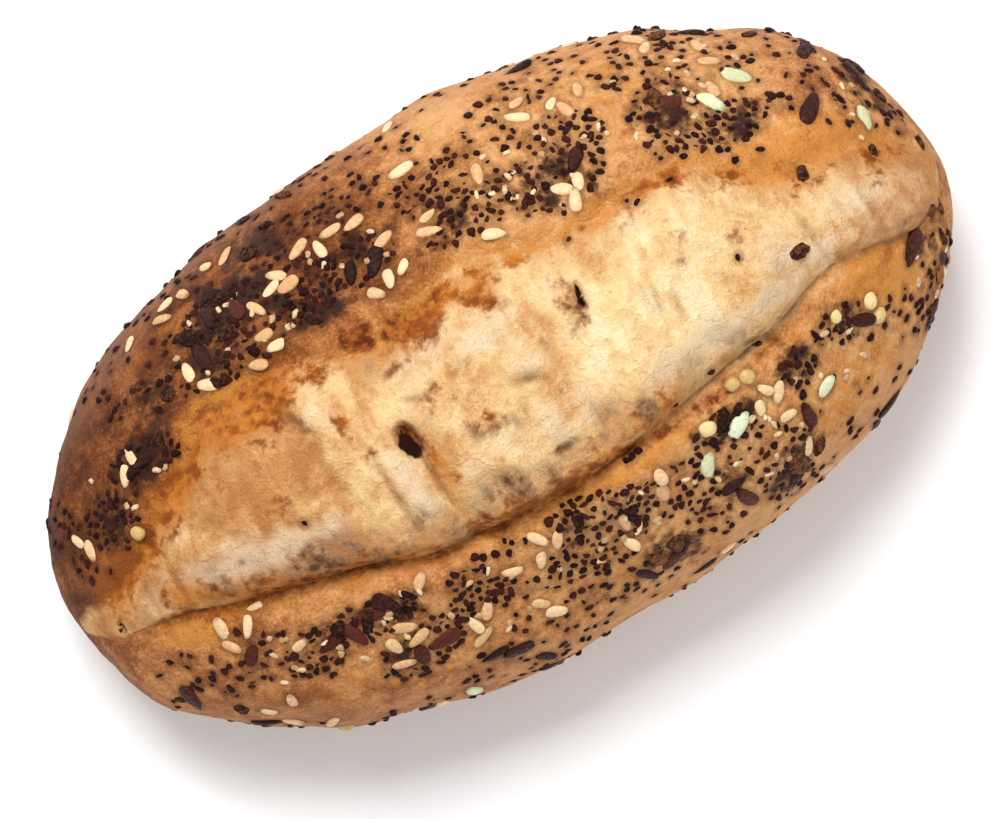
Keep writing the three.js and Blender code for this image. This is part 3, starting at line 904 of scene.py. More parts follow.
    @staticmethod
    def _bake_and_shade(x: Array, y: Array) -> Array:
        """How brown the crust is: darkest at the far left, palest at the near right. Towards the
        left end, and on the far side there, the darkening is partly painted shade.

        Args:
            x: Places along the roll.
            y: Places across it.

        Returns:
            One number for each place.
        """
        # Darker towards the left end: deeper browning, with painted shade.
        left = climb(x, 5, -50)
        far = climb(y, -18, 12)
        far_middle = climb(y, 8, 22) * climb(x, 14, -8) * (1.0 - left)
        near_right = climb(y, -14, -24) * climb(x, -5, 15)
        left_end = climb(x, -46, -56) * climb(y, -8, 0)
        # Darker on the far side at the left: painted shade.
        far_left = climb(y, 20, 30) * climb(x, 5, -15)
        right_end = climb(x, 46, 56)
        browned = 0.46 * left * (0.34 + 0.66 * far) + 0.38 * far_middle
        low_left = climb(y, -12, -20) * left
        browned += 0.14 * left_end + 0.08 * far_left + 0.13 * right_end + 0.06 * low_left
        pale_rim = climb(y, 26, 32) * climb(x, -14, -6) * climb(x, 24, 10)
        return 0.27 + browned - 0.06 * near_right - 0.15 * pale_rim


class Draws:
    """Repeatable draws from 0 to 1.

    Attributes:
        factor: What a state is multiplied by on the way to the next one.
        step: What is then added.
        states: How many states there are.
    """

    factor: int = 1664525
    step: int = 1013904223
    states: int = 2**32

    def __init__(self, start: int) -> None:
        """Starts the row of draws."""
        self.state = start % self.states

    def take(self, number: int) -> Array:
        """The next draws.

        Args:
            number: How many.

        Returns:
            The draws.
        """
        values = np.empty(number)
        for i in range(number):
            self.state = (self.state * self.factor + self.step) % self.states
            values[i] = self.state / self.states
        return values


@dataclass(frozen=True)
class Patch:
    """Where some seeds lie: an oval seen from above, and how many it holds."""

    x: float
    y: float
    half_x: float
    half_y: float
    count: int

    def spots(self, first: Array, second: Array) -> tuple[Array, Array]:
        """Spots spread evenly over the oval.

        Args:
            first: Draws for how far out they lie.
            second: Draws for the way they lie.

        Returns:
            The places along the roll and across it.
        """
        reach, angle = np.sqrt(first), 2 * math.pi * second
        x = self.x + self.half_x * reach * np.cos(angle)
        return x, self.y + self.half_y * reach * np.sin(angle)


@dataclass(frozen=True)
class Place:
    """One seed's place on the crust, and how it lies there.

    Attributes:
        spot: Its place along the roll, its share across, and whether it is below.
        turn: How far it is turned on the crust.
        tilt: How far one end is lifted.
        scale: Its size as a share of its kind's.
    """

    spot: tuple[float, float, bool]
    turn: float
    tilt: float
    scale: float


def patches(*rows: tuple[float, ...]) -> tuple[Patch, ...]:
    """Patches from rows of middle, half sizes and count."""
    return tuple(Patch(*row) for row in rows)


class SeedKind(Enum):
    """The kinds of seed on the crust. Each value is part of its piece's name and is the slot name
    logged for it.
    """

    LINSEED = "linseed"
    HULLED = "hulled"
    SESAME = "sesame"
    MILLET = "millet"
    POPPY = "poppy"


@dataclass(frozen=True)
class Sowing:
    """One kind's size, and where its seeds lie.

    Attributes:
        size: Length, width and thickness.
        apart: Room that one takes.
        on_sides: How many are strewn on the roll's sides.
        patches: Where the others lie.
    """

    size: Triple
    apart: float
    on_sides: int
    patches: tuple[Patch, ...]


def sowing(size: Triple, apart: float, on_sides: int, *rows: tuple[float, ...]) -> Sowing:
    """One kind's size, room and number on the sides, with rows for its patches."""
    return Sowing(size, apart, on_sides, patches(*rows))


SOWN_FIRST: dict[SeedKind, Sowing] = {
    SeedKind.LINSEED: sowing(
        (4.7, 2.5, 1.2), 3.0, 4,
        (-27, 26.5, 3.5, 2.5, 4), (-32, 22.5, 2.5, 1.5, 2), (-46, 13.5, 2, 1.5, 1),
        (-8.5, 21.5, 3, 1, 2), (22, 20, 1, 1, 1), (37, 19.5, 1, 1, 1), (45.5, 27.5, 1, 0.5, 1),
        (52.8, 9.8, 0.3, 0.3, 1), (57, 16.5, 1, 1, 1), (61, 11, 0.5, 3, 2),
        (-56, -16, 0.5, 1, 1), (-50, -24.5, 1, 1, 1), (-46, -16, 1, 1, 1),
        (-30, -19.5, 5, 2, 4), (-37, -20, 1, 1, 1), (-25, -27.5, 3, 1.5, 2),
        (-17, -32.5, 3, 1, 2), (6, -32.5, 3, 1, 2), (20, -29, 1, 1.5, 2), (27, -31, 2, 0.8, 2),
        (32, -24.5, 0.5, 1, 1), (44.3, -17.5, 0.5, 1, 1), (55.3, -13, 0.5, 1.5, 1),
        (53, -22, 1, 0.6, 1),
    ),
    SeedKind.HULLED: sowing(
        (4.0, 2.3, 1.3), 2.6, 1,
        (23.8, -22.5, 0.8, 1.3, 2), (41.7, 16.7, 0.5, 0.5, 1), (46.6, 18.3, 0.5, 0.5, 1),
        (58.5, 5.5, 0.8, 1.3, 2), (36.5, -23.2, 0.3, 0.3, 1), (18.5, -24.3, 1, 1, 1),
    ),
    SeedKind.SESAME: sowing(
        (3.3, 1.9, 1.0), 2.3, 8,
        (-41, 28.5, 1, 1, 1), (-33.5, 30, 3, 2, 3), (-25, 32, 2.5, 1, 2), (-48, 14, 3.5, 1.5, 2),
        (-38.5, 12, 1, 1, 1), (-59, 7, 1.5, 2, 2), (-34, 19, 2, 2, 2),
        (-22.5, 23.7, 5.5, 1, 4), (-23.5, 18.3, 3, 1.2, 2), (-27.5, 16, 1, 1, 1),
        (-11, 26.5, 5, 1.5, 4), (-4.5, 23.6, 1.5, 1, 2), (-5.8, 17.5, 3.5, 2, 3),
        (2, 22, 1.5, 2, 3), (1.8, 30.3, 1, 1, 1), (9, 16, 1, 1, 1), (19, 15.5, 3, 1.5, 3),
        (19.5, 28.5, 1.2, 1.5, 2), (26, 27, 3, 2, 3), (38, 27.5, 1, 2.5, 2),
        (44.5, 23, 1, 2, 1), (-47.8, -13, 1.5, 2.5, 3), (-41, -18.5, 1, 1.5, 1),
        (-46.5, -23.7, 3, 1, 2), (-28.5, -25, 3, 2.5, 5), (-22, -18.5, 1, 0.5, 1),
        (-18, -28, 2.5, 3, 3), (-9.5, -29, 2.5, 2.5, 2), (-3.5, -22.7, 1, 0.5, 1),
        (4, -26.5, 0.5, 3.2, 2), (11, -23, 1, 1.8, 2), (29, -21, 2.5, 1, 2),
        (31, -28, 0.8, 0.8, 1), (56.5, 2.5, 1.5, 1.5, 1),
    ),
    SeedKind.MILLET: sowing(
        (2.3, 2.2, 1.8), 2.2, 1,
        (26.8, -16.6, 1.6, 0.4, 2), (41.5, -15.6, 0.5, 0.4, 1), (47, -17.5, 1, 2, 2),
        (-52, 6.5, 1, 1, 1), (20.5, -19.8, 1, 0.4, 1),
    ),
    SeedKind.POPPY: sowing(
        (1.3, 1.15, 1.05), 1.5, 6,
        (-27, 22, 9, 6, 8), (-10, 24, 8, 6, 6), (8, 22, 8, 6, 5), (22, 22, 8, 8, 6),
        (42, 17, 8, 8, 6), (-50, 13, 8, 6, 5), (-33, -21, 10, 4, 5), (0, -26, 12, 6, 6),
        (22, -25, 9, 6, 6), (46, -19, 10, 5, 4),
    ),
}

SOWN_LATER: dict[SeedKind, Sowing] = {
    SeedKind.POPPY: sowing(
        (1.26, 1.1, 1.02), 0.9, 190,
        (-27, 24, 7, 4.2, 130), (-17.5, 21, 5, 3, 46), (-9, 22, 5.5, 3, 60),
        (-13, 28.5, 8, 4, 40), (-28, 18.5, 7, 2, 36), (-33, 31, 7, 2, 20),
        (-46, 13.5, 5, 2.5, 36), (-54, 8.5, 3.6, 4, 40), (-45, 23, 5, 4, 20),
        (-60, 9, 2.2, 6, 28), (-37, 22, 7, 6, 18), (0, 30, 11, 4, 30), (4, 25, 5, 4, 30),
        (7, 19.5, 7, 3, 36), (14, 26, 5, 5, 22), (19, 18, 7, 4.6, 44), (23, 31, 8, 2.2, 26),
        (23, 22, 5, 4, 24), (36, 20, 5, 4, 30), (43, 13, 6, 3.2, 34), (35, 14.5, 4, 2.4, 16),
        (35, 27, 6, 3, 24), (44, 24, 5, 5, 24), (52, 17, 6, 7, 22), (57, 8, 4, 8, 20),
        (62, 3, 1.6, 7, 14), (-30, -20, 6, 2.4, 54), (-38, -19.5, 6, 3, 30),
        (-47, -16, 6, 4, 26), (-55, -14, 4, 5, 12), (-26, -26, 7, 3, 36),
        (-17, -25, 5, 2.5, 40), (-14, -21, 6, 1.8, 16), (-22, -33, 9, 2.2, 16),
        (-10, -30, 7, 4, 26), (0, -26.5, 7, 3.6, 52), (0, -21, 5, 1.4, 20),
        (7, -23, 5, 2.2, 26), (14, -25.5, 5, 4, 28), (22, -21, 5, 2.3, 26),
        (25, -26, 6, 3.5, 30), (26, -31, 5, 2, 24), (2, -33, 8, 2.4, 26), (-11, -35.5, 9, 0.9, 16),
        (14, -31.5, 5, 2.4, 14), (34, -19, 3, 2.4, 18), (42, -17, 4, 2.4, 24),
        (38, -26, 9, 5, 14), (52, -21, 5, 4, 22), (58, -13, 3, 6, 18), (8, -18, 3, 0.5, 6),
        (-8, 35, 22, 1.6, 22), (40, 29, 9, 2, 10),
    ),
    SeedKind.SESAME: sowing(
        (3.2, 1.8, 0.95), 2.2, 16,
        (-20, 24.5, 8, 3, 4), (10, 20, 9, 4, 4), (43, 22, 4, 4, 3), (-45, -14, 4, 4, 2),
        (0, -24, 18, 3, 5), (26, -22, 8, 4, 4), (57, -19, 4, 4, 2),
    ),
    SeedKind.LINSEED: sowing(
        (4.3, 2.3, 1.0), 2.6, 12,
        (-14, 20.5, 4, 1.5, 2), (34.5, 15.5, 1, 1, 1), (-24, 21, 5, 2, 3), (-44, -17, 2, 1, 1),
        (0, -22, 3, 1, 1), (23, -26, 3, 3, 2), (59.5, -11, 0.8, 1.5, 1), (-13, 36.4, 0.8, 0.1, 1),
    ),
}

STRAY_POPPIES: tuple[Pair, ...] = (
    (-31.2, -4.4), (16.3, 10.3), (25.5, 10.6), (26.5, 9.7), (31.5, 10.1), (23.7, -13.7),
    (33.7, -2.7), (-57.5, 3.0), (-51.0, 4.8), (40.5, 8.6), (44.0, 8.0), (17.5, -15.0),
)


@dataclass
class Sower:
    """Draws the places of the seeds by one rule. The first ones are those of the solid.

    Attributes:
        loaf: The roll without its burst.
        burst: The burst.
        skin: The surface that they lie on.
        first_draw: Start of the draws for the seeds of the solid.
        later_draw: Start of the draws for the others.
        tries: Tries for each seed before it is given up.
        draws_each: Draws that each try uses.
        tilt: Range of the tilts.
        least_scale: The smallest seed's size as a share of its kind's.
        scale_spread: How much larger the largest one is.
        sides_from: Degrees from the top where seeds on the sides start.
        sides_to: Degrees from the top where they end.
        sides_along: Share of the half length over which they lie.
        bare_margin: How far seeds keep from the burst.
        taken: The places of all seeds so far, with the room that each takes.
        count: How many there are.
    """

    loaf: Loaf
    burst: Burst
    skin: Skin
    first_draw: int = 20417
    later_draw: int = 90631
    tries: int = 30
    draws_each: int = 5
    tilt: float = 0.35
    least_scale: float = 0.88
    scale_spread: float = 0.24
    sides_from: float = 72.0
    sides_to: float = 100.0
    sides_along: float = 0.93
    bare_margin: float = 0.9
    taken: Array = field(default_factory=lambda: np.zeros((6000, 4)))
    count: int = 0

    def _in_patch(self, patch: Patch, first: Array, second: Array) -> tuple[Array, Array, Array]:
        """Spots drawn evenly from a patch's oval: place along, share across, whether below.

        Args:
            patch: The patch.
            first: Draws for how far out they lie.
            second: Draws for the way they lie.

        Returns:
            The three, one row each.
        """
        x, y = patch.spots(first, second)
        half = self.loaf.half_width_at(x)
        across = np.where(half > 0, y / np.maximum(half, MM), 2.0)
        return x, across, np.zeros(len(x), dtype=bool)

    def _on_sides(self, first: Array, second: Array) -> tuple[Array, Array, Array]:
        """Spots drawn evenly from the roll's two sides.

        Args:
            first: Draws for the place along.
            second: Draws for the place around.

        Returns:
            Places along, shares across and whether below.
        """
        x = self.sides_along * self.loaf.half_length * (2 * first - 1)
        way = 2 * second - 1
        around = np.radians(self.sides_from + (self.sides_to - self.sides_from) * np.abs(way))
        return x, np.copysign(np.sin(around), way), around > math.pi / 2

    def _is_crust(self, x: Array, across: Array, below: Array) -> Array:
        """Whether spots are on seeded crust, clear of the burst.

        Args:
            x: Places along the roll.
            across: Shares of the half width.
            below: Whether each is below.

        Returns:
            One answer for each spot.
        """
        half = self.loaf.half_width_at(x)
        past_far = (across - self.burst.far.at(x)) * half
        past_near = (self.burst.near.at(x) - across) * half
        clear = below | (np.maximum(past_far, past_near) > self.bare_margin)
        return clear & (np.abs(across) <= 1)

    def _takes(self, point: Array, apart: float) -> bool:
        """Takes the room at a point, unless a seed that is already placed is too near.

        Args:
            point: The point.
            apart: The room that is needed.

        Returns:
            Whether it was free.
        """
        others = self.taken[: self.count]
        gaps = np.linalg.norm(others[:, :3] - point, axis=1)
        if (gaps < (others[:, 3] + apart) / 2).any():
            return False
        self.taken[self.count] = (*point, apart)
        self.count += 1
        return True

    def sow(self, sowing: Sowing, draws: Draws) -> list[Place]:
        """The places of one kind's seeds.

        Args:
            sowing: The kind's size and patches.
            draws: The row of draws that the places use up.

        Returns:
            The places, patch by patch.
        """
        places: list[Place] = []
        for patch in sowing.patches:
            places += self._strew(patch.count, sowing, draws, patch)
        return places + self._strew(sowing.on_sides, sowing, draws, None)

    def _strew(
        self, count: int, sowing: Sowing, draws: Draws, patch: Patch | None
    ) -> list[Place]:
        """Places for some seeds in one patch, or on the sides where no patch is given.

        Tries are worked out many at a time, and the draws of those that turn out not to be
        needed are put back.

        Args:
            count: How many seeds.
            sowing: Their kind's size and room.
            draws: The row of draws.
            patch: The patch, or None.

        Returns:
            The places.
        """
        places: list[Place] = []
        left = count * self.tries
        while left > 0 and len(places) < count:
            batch = min(left, 2 * (count - len(places)) + 6)
            start = draws.state
            drawn = draws.take(self.draws_each * batch).reshape(batch, self.draws_each)
            if patch is None:
                x, across, below = self._on_sides(drawn[:, 0], drawn[:, 1])
            else:
                x, across, below = self._in_patch(patch, drawn[:, 0], drawn[:, 1])
            crust = self._is_crust(x, across, below)
            points, _ = self.skin.form(x, np.clip(across, -1, 1), below)
            used = 0
            while used < batch and len(places) < count:
                i = used
                used += 1
                if crust[i] and self._takes(points[i], sowing.apart):
                    turn = 2 * math.pi * drawn[i, 2]
                    tilt = self.tilt * (drawn[i, 3] - 0.5)
                    scale = self.least_scale + self.scale_spread * drawn[i, 4]
                    spot = (float(x[i]), float(across[i]), bool(below[i]))
                    places.append(Place(spot, turn, tilt, scale))
            draws.state = start
            draws.take(self.draws_each * used)
            left -= used
        return places

    def sow_all(self) -> dict[SeedKind, "Bed"]:
        """Every kind's seeds: those of the solid first, then the others.

        Returns:
            The seeds of each kind as they lie.
        """
        sown: dict[SeedKind, list[tuple[Place, Triple]]] = {kind: [] for kind in SeedKind}
        for start, sowings in ((self.first_draw, SOWN_FIRST), (self.later_draw, SOWN_LATER)):
            draws = Draws(start)
            for kind, sowing in sowings.items():
                sown[kind] += [(place, sowing.size) for place in self.sow(sowing, draws)]
        size = SOWN_LATER[SeedKind.POPPY].size
        for n, (x, y) in enumerate(STRAY_POPPIES):
            across = y / float(self.loaf.half_width_at(np.float64(x)))
            sown[SeedKind.POPPY].append((Place((x, across, False), n, 0.0, 1.0), size))
        return {kind: Bed.on(self.skin, seeds) for kind, seeds in sown.items()}


@dataclass(frozen=True)
class Bed:
    """All seeds of one kind as they lie, with one row or number for each seed.

    Attributes:
        points: Where the seeds' middles meet the crust.
        normals: The crust's outward directions there.
        turns: How far they are turned on the crust.
        tilts: How far one end is lifted.
        sizes: Their lengths, widths and thicknesses.
    """

    points: Array
    normals: Array
    turns: Array
    tilts: Array
    sizes: Array

    @classmethod
    def on(cls, skin: Skin, seeds: list[tuple[Place, Triple]]) -> "Bed":
        """Lays seeds of given places and sizes on a skin.

        Args:
            skin: The skin.
            seeds: Each seed's place and its kind's size.

        Returns:
            The laid seeds.
        """
        x, across, below = (np.array(column) for column in zip(*(p.spot for p, _ in seeds)))
        points, normals = skin.spots(x, across, below)
        turns = np.array([place.turn for place, _ in seeds])
        tilts = np.array([place.tilt for place, _ in seeds])
        sizes = np.array([size for _, size in seeds])
        scales = np.array([place.scale for place, _ in seeds])
        return cls(points, normals, turns, tilts, sizes * scales[:, None])


class Shading:
    """A material's nodes, added step by step, with lengths in mm on the piece.

    Attributes:
        noise_range: The part of the noise's own values that is spread from 0 to 1.
    """

    noise_range: Pair = (0.28, 0.72)

    def __init__(self, name: str) -> None:
        """Starts a material with a principled shader.

        Args:
            name: The material's name.
        """
        self.material = bpy.data.materials.new(name)
        self.material.use_nodes = True
        self.nodes = self.material.node_tree.nodes
        self.links = self.material.node_tree.links
        self.shader = next(n for n in self.nodes if n.type == "BSDF_PRINCIPLED")
        self.coordinates = self.nodes.new("ShaderNodeTexCoord").outputs["Object"]

    def feed(self, socket: Socket, value: Socket | float | Colour) -> None:
        """Links a socket into another, or sets a constant on it.

        Args:
            socket: The socket that is fed.
            value: The other socket, or the constant.
        """
        if isinstance(value, Socket):
            self.links.new(value, socket)
        else:
            socket.default_value = value

    def add(self, kind: str, inputs: Inputs, **settings: str) -> bpy.types.Node:
        """Adds a node.

        Args:
            kind: Blender's name for it.
            inputs: What its inputs are fed, by their names or numbers.
            settings: Its other settings, by their names.

        Returns:
            The node.
        """
        node = self.nodes.new(f"ShaderNode{kind}")
        for name, setting in settings.items():
            setattr(node, name, setting)
        for key, value in inputs.items():
            self.feed(node.inputs[key], value)
        return node

    def attribute(self, name: str) -> Socket:
        """A named share that the mesh carries."""
        return self.add("Attribute", {}, attribute_name=name).outputs["Fac"]

    def math(self, kind: str, first: Socket | float, second: Socket | float) -> Socket:
        """One piece of arithmetic on two numbers."""
        return self.add("Math", {0: first, 1: second}, operation=kind).outputs[0]

    def spread(self, value: Socket, low: float, high: float, to: Pair = (0.0, 1.0)) -> Socket:
        """Stretches a range of values smoothly over another one.

        Args:
            value: The values.
            low: The value that gives the first end.
            high: The value that gives the second end.
            to: The two ends.

        Returns:
            The stretched values.
        """
        ends = {"From Min": low, "From Max": high, "To Min": to[0], "To Max": to[1]}
        inputs = {"Value": value} | ends
        return self.add("MapRange", inputs, interpolation_type="SMOOTHSTEP").outputs["Result"]

    def noise(
        self, lengths: float | Triple, detail: float = 3.0, rough: float = 0.55,
        swirl: float = 0.0,
    ) -> Socket:
        """Noise that spreads evenly from 0 to 1.

        Args:
            lengths: Length of its waves in mm, or one each along x, y and z.
            detail: How many finer layers it has.
            rough: How strong each finer layer is.
            swirl: How far the waves are pulled about.

        Returns:
            The noise.
        """
        scale = tuple(1.0 / (length * MM) for length in np.broadcast_to(lengths, 3))
        place = self.add("VectorMath", {0: self.coordinates, 1: scale}, operation="MULTIPLY")
        layers = {"Scale": 1.0, "Detail": detail, "Roughness": rough, "Distortion": swirl}
        noise = self.add("TexNoise", {"Vector": place.outputs[0]} | layers)
        return self.spread(noise.outputs["Fac"], *self.noise_range)

    def sway(self, value: Socket, noise: Socket, amount: float) -> Socket:
        """A value moved up and down by noise, as far as an amount both ways."""
        centred = self.math("SUBTRACT", noise, 0.5)
        return self.math("ADD", value, self.math("MULTIPLY", centred, amount * 2))

    def share(self, name: str, noise: Socket, ragged: float, edge: float) -> Socket:
        """A named share as patches: a share of a half covers half the ground.

        Args:
            name: The mesh's name for the share.
            noise: The noise that the patches follow.
            ragged: How far the noise breaks up the share's own edges.
            edge: How soft the patches' edges are, from 0 to 0.5.

        Returns:
            The patches, 1 inside them.
        """
        broken = self.sway(self.attribute(name), noise, ragged / 2)
        there = self.spread(self.attribute(name), 0.0, 0.2)
        return self.math("MULTIPLY", self.spread(broken, 0.5 - edge, 0.5 + edge), there)

    def blend(
        self, first: Socket | Colour, second: Socket | Colour, share: Socket | float
    ) -> Socket:
        """Mixes two colours: the second shows as far as the share says."""
        return self.add("Mix", {0: share, 6: first, 7: second}, data_type="RGBA").outputs[2]

    def ramp(self, value: Socket, stops: Stops) -> Socket:
        """A colour for each value, mixed between the stops.

        Args:
            value: The values.
            stops: The places and colours of the stops.

        Returns:
            The colours.
        """
        node = self.add("ValToRGB", {"Fac": value})
        ramp = node.color_ramp
        while len(ramp.elements) < len(stops):
            ramp.elements.new(1.0)
        for element, (position, colour) in zip(ramp.elements, stops):
            element.position = position
            element.color = colour
        return node.outputs["Color"]

    def bump(self, height: Socket, depth: float, under: Socket | None = None) -> Socket:
        """Relief too fine for the mesh, from 0 to depth mm high, over another if given.

        Args:
            height: Its height as a share.
            depth: The height of a whole share in mm.
            under: The relief that it lies on.

        Returns:
            The bumped normal.
        """
        inputs: Inputs = {"Strength": 1.0, "Distance": depth * MM, "Height": height}
        if under is not None:
            inputs["Normal"] = under
        return self.add("Bump", inputs).outputs["Normal"]

    def finish(
        self, colour: Socket | Colour, roughness: Socket | float, normal: Socket, gloss: float
    ) -> bpy.types.Material:
        """Feeds the shader.

        Args:
            colour: The surface's colour.
            roughness: Its roughness.
            normal: Its bumped normal.
            gloss: Its specular level.

        Returns:
            The material.
        """
        inputs = self.shader.inputs
        self.feed(inputs["Base Color"], colour)
        self.feed(inputs["Roughness"], roughness)
        self.links.new(normal, inputs["Normal"])
        inputs["Specular IOR Level"].default_value = gloss
        return self.material


@dataclass(frozen=True)
class BreadFinish:
    """The baked crust and the burst dough, one surface that turns from one into the other."""

    crust: Stops = (
        (0.08, tone(226, 170, 112)),
        (0.3, tone(209, 145, 86)),
        (0.52, tone(168, 104, 56)),
        (0.76, tone(120, 63, 24)),
        (1.0, tone(78, 35, 12)),
    )
    glaze: Colour = tone(210, 138, 58)
    brown_glaze: Colour = tone(158, 86, 34)
    # Painted sheen: a paler tone along the roll's edge.
    painted_rim: Colour = tone(184, 133, 95)
    dough: Stops = (
        (0.0, tone(184, 124, 70)),
        (0.3, tone(210, 156, 98)),
        (0.58, tone(234, 192, 136)),
        (0.82, tone(246, 211, 154)),
        (1.0, tone(251, 226, 180)),
    )
    flour: Colour = tone(228, 204, 172)
    gold: Colour = tone(204, 124, 46)
    brown_gold: Colour = tone(140, 72, 26)
    # Toasted dough, also standing for painted shade on the near flank.
    toast_and_shade: Colour = tone(166, 124, 88)
    dark_toast: Colour = tone(100, 66, 42)
    scorch: Colour = tone(164, 90, 36)
    dark_scorch: Colour = tone(104, 48, 18)
    # Painted shade: darkens the holes and the crust round each seed.
    painted_shade: Colour = tone(44, 18, 12)
    # Stained crust with painted shade between crowded seeds.
    stain_and_seed_shade: Colour = tone(64, 40, 28)
    under: Colour = tone(218, 166, 108)
    dark_under: Colour = tone(168, 110, 62)

    def material(self) -> bpy.types.Material:
        """Builds the bread's material.

        Returns:
            The material.
        """
        s = Shading("bread")
        wisp = s.noise(5.0, 6.0, 0.58, 0.25)
        curd = s.noise(1.5, 5.0, 0.6)
        speck = s.noise(0.4, 4.0, 0.7)
        strand = s.noise((2.6, 8.0, 8.0), 4.0, 0.5, 0.35)

        crust = self._crust(s, wisp, curd, speck)
        dough = self._dough(s, wisp, curd, speck, strand)
        colour = s.blend(crust, dough, s.share("dough", wisp, 0.7, 0.3))
        scorch = s.blend(self.scorch, self.dark_scorch, s.spread(curd, 0.2, 0.9))
        colour = s.blend(colour, scorch, s.share("scorch", curd, 0.4, 0.45))
        # Painted shade in the fine cracks and the crease line.
        line = s.math("MULTIPLY", s.attribute("line"), 0.8)
        colour = s.blend(colour, self.dark_scorch, line)
        # Painted shade inside the holes.
        colour = s.blend(colour, self.painted_shade, s.share("painted_shade", curd, 0.4, 0.2))
        # Painted shade and stain between crowded poppy seeds, and in the listed darker patches
        # among the seeds.
        colour = s.blend(colour, self.stain_and_seed_shade, s.share("crowd_shade_and_stain", curd, 1.0, 0.5))
        colour = s.blend(colour, self.stain_and_seed_shade, s.share("stain_and_seed_shade", s.sway(wisp, curd, 0.3), 1.0, 0.45))
        # Painted shade, with some char, round each seed where it sits in the crust.
        shade = s.math("MULTIPLY", s.attribute("seed_shade_and_char"), 0.42)
        colour = s.blend(colour, self.painted_shade, shade)
        browned = s.spread(s.sway(s.sway(wisp, curd, 0.4), speck, 0.3), -0.4, 1.5)
        under = s.blend(self.under, self.dark_under, browned)
        colour = s.blend(colour, under, s.math("MULTIPLY", s.attribute("under"), 0.85))

        rough = s.spread(s.attribute("dough"), 0.0, 1.0, (0.65, 0.8))
        skin = s.bump(speck, 0.13, s.bump(curd, 0.26))
        strands = s.math("MULTIPLY", strand, s.attribute("dough"))
        normal = s.bump(strands, 0.08, skin)
        return s.finish(colour, rough, normal, 0.13)

    def _crust(self, s: Shading, wisp: Socket, curd: Socket, speck: Socket) -> Socket:
        """The crust's colour: its browning, darkened by painted shade towards the left end, its
        glaze and a paler painted sheen along the edge.

        Args:
            s: The material's nodes.
            wisp: Coarse noise.
            curd: Middle noise.
            speck: Fine noise.

        Returns:
            The colour.
        """
        bake_and_shade = s.attribute("bake_and_shade")
        for noise, amount in ((wisp, 0.16), (curd, 0.1), (speck, 0.12)):
            bake_and_shade = s.sway(bake_and_shade, noise, amount)
        colour = s.ramp(bake_and_shade, self.crust)
        glaze = s.math("MULTIPLY", s.share("gold", curd, 0.6, 0.4), 0.75)
        deep = s.blend(self.glaze, self.brown_glaze, s.spread(s.sway(bake_and_shade, wisp, 0.2), 0.4, 0.9))
        colour = s.blend(colour, deep, glaze)
        # Painted sheen along the edge.
        return s.blend(colour, self.painted_rim, s.math("MULTIPLY", s.attribute("painted_rim"), 0.3))

    def _dough(
        self, s: Shading, wisp: Socket, curd: Socket, speck: Socket, strand: Socket
    ) -> Socket:
        """The burst dough's colour: cream, floury, golden and toasted places, with strands; the
        toasted places on the near flank also hold painted shade.

        Args:
            s: The material's nodes.
            wisp: Coarse noise.
            curd: Middle noise.
            speck: Fine noise.
            strand: Noise stretched across the roll.

        Returns:
            The colour.
        """
        light = s.attribute("light")
        for noise, amount in ((wisp, 0.26), (curd, 0.1), (speck, 0.08), (strand, 0.14)):
            light = s.sway(light, noise, amount)
        colour = s.ramp(light, self.dough)
        flour = s.math("MULTIPLY", s.share("flour", wisp, 0.6, 0.5), 0.8)
        colour = s.blend(colour, self.flour, flour)
        gold = s.blend(self.gold, self.brown_gold, s.spread(s.sway(wisp, curd, 0.3), 0.3, 1.1))
        golden = s.share("gold", s.sway(wisp, curd, 0.3), 0.9, 0.4)
        colour = s.blend(colour, gold, golden)
        # Toasted places, with painted shade on the near flank.
        uneven = s.sway(s.sway(strand, curd, 0.3), wisp, 0.3)
        toast_and_shade = s.blend(self.toast_and_shade, self.dark_toast, s.spread(uneven, 0.5, 1.15))
        toasted = s.math("MULTIPLY", s.attribute("toast_and_shade"), s.spread(uneven, -0.05, 0.75))
        return s.blend(colour, toast_and_shade, toasted)


@dataclass(frozen=True)
class SeedFinish:
    """One kind of seed: its two body colours, its tip, how glossy it is and its fine relief.

    Attributes:
        light: The colour of the palest seeds.
        deep: The colour of the deepest seeds.
        tip: The colour towards the pointed end.
        roughness: How rough the skin is.
        gloss: The skin's specular level.
        relief: Depth of the skin's fine relief in mm.
        relief_size: Length of that relief's waves in mm.
    """

    light: Colour
    deep: Colour
    tip: Colour
    roughness: float
    gloss: float
    relief: float
    relief_size: float

    def material(self, name: str) -> bpy.types.Material:
        """Builds this kind's material under a name.

        Args:
            name: The name.

        Returns:
            The material.
        """
        s = Shading(name)
        spots = s.noise(0.5, 3.0)
        fine = s.noise(self.relief_size, 2.0, 0.6)
        own = s.math("ADD", s.attribute("tone"), s.math("MULTIPLY", spots, 0.5))
        colour = s.blend(self.light, self.deep, s.spread(own, 0.15, 1.35))
        colour = s.blend(colour, self.tip, s.spread(s.attribute("along"), 0.55, 1.05, (0.0, 0.8)))
        colour = s.blend(colour, self.tip, s.spread(s.attribute("low"), 0.35, 0.95, (0.0, 0.85)))
        rough = s.spread(spots, 0.3, 0.7, (self.roughness - 0.08, self.roughness + 0.1))
        normal = s.bump(fine, self.relief)
        return s.finish(colour, rough, normal, self.gloss)


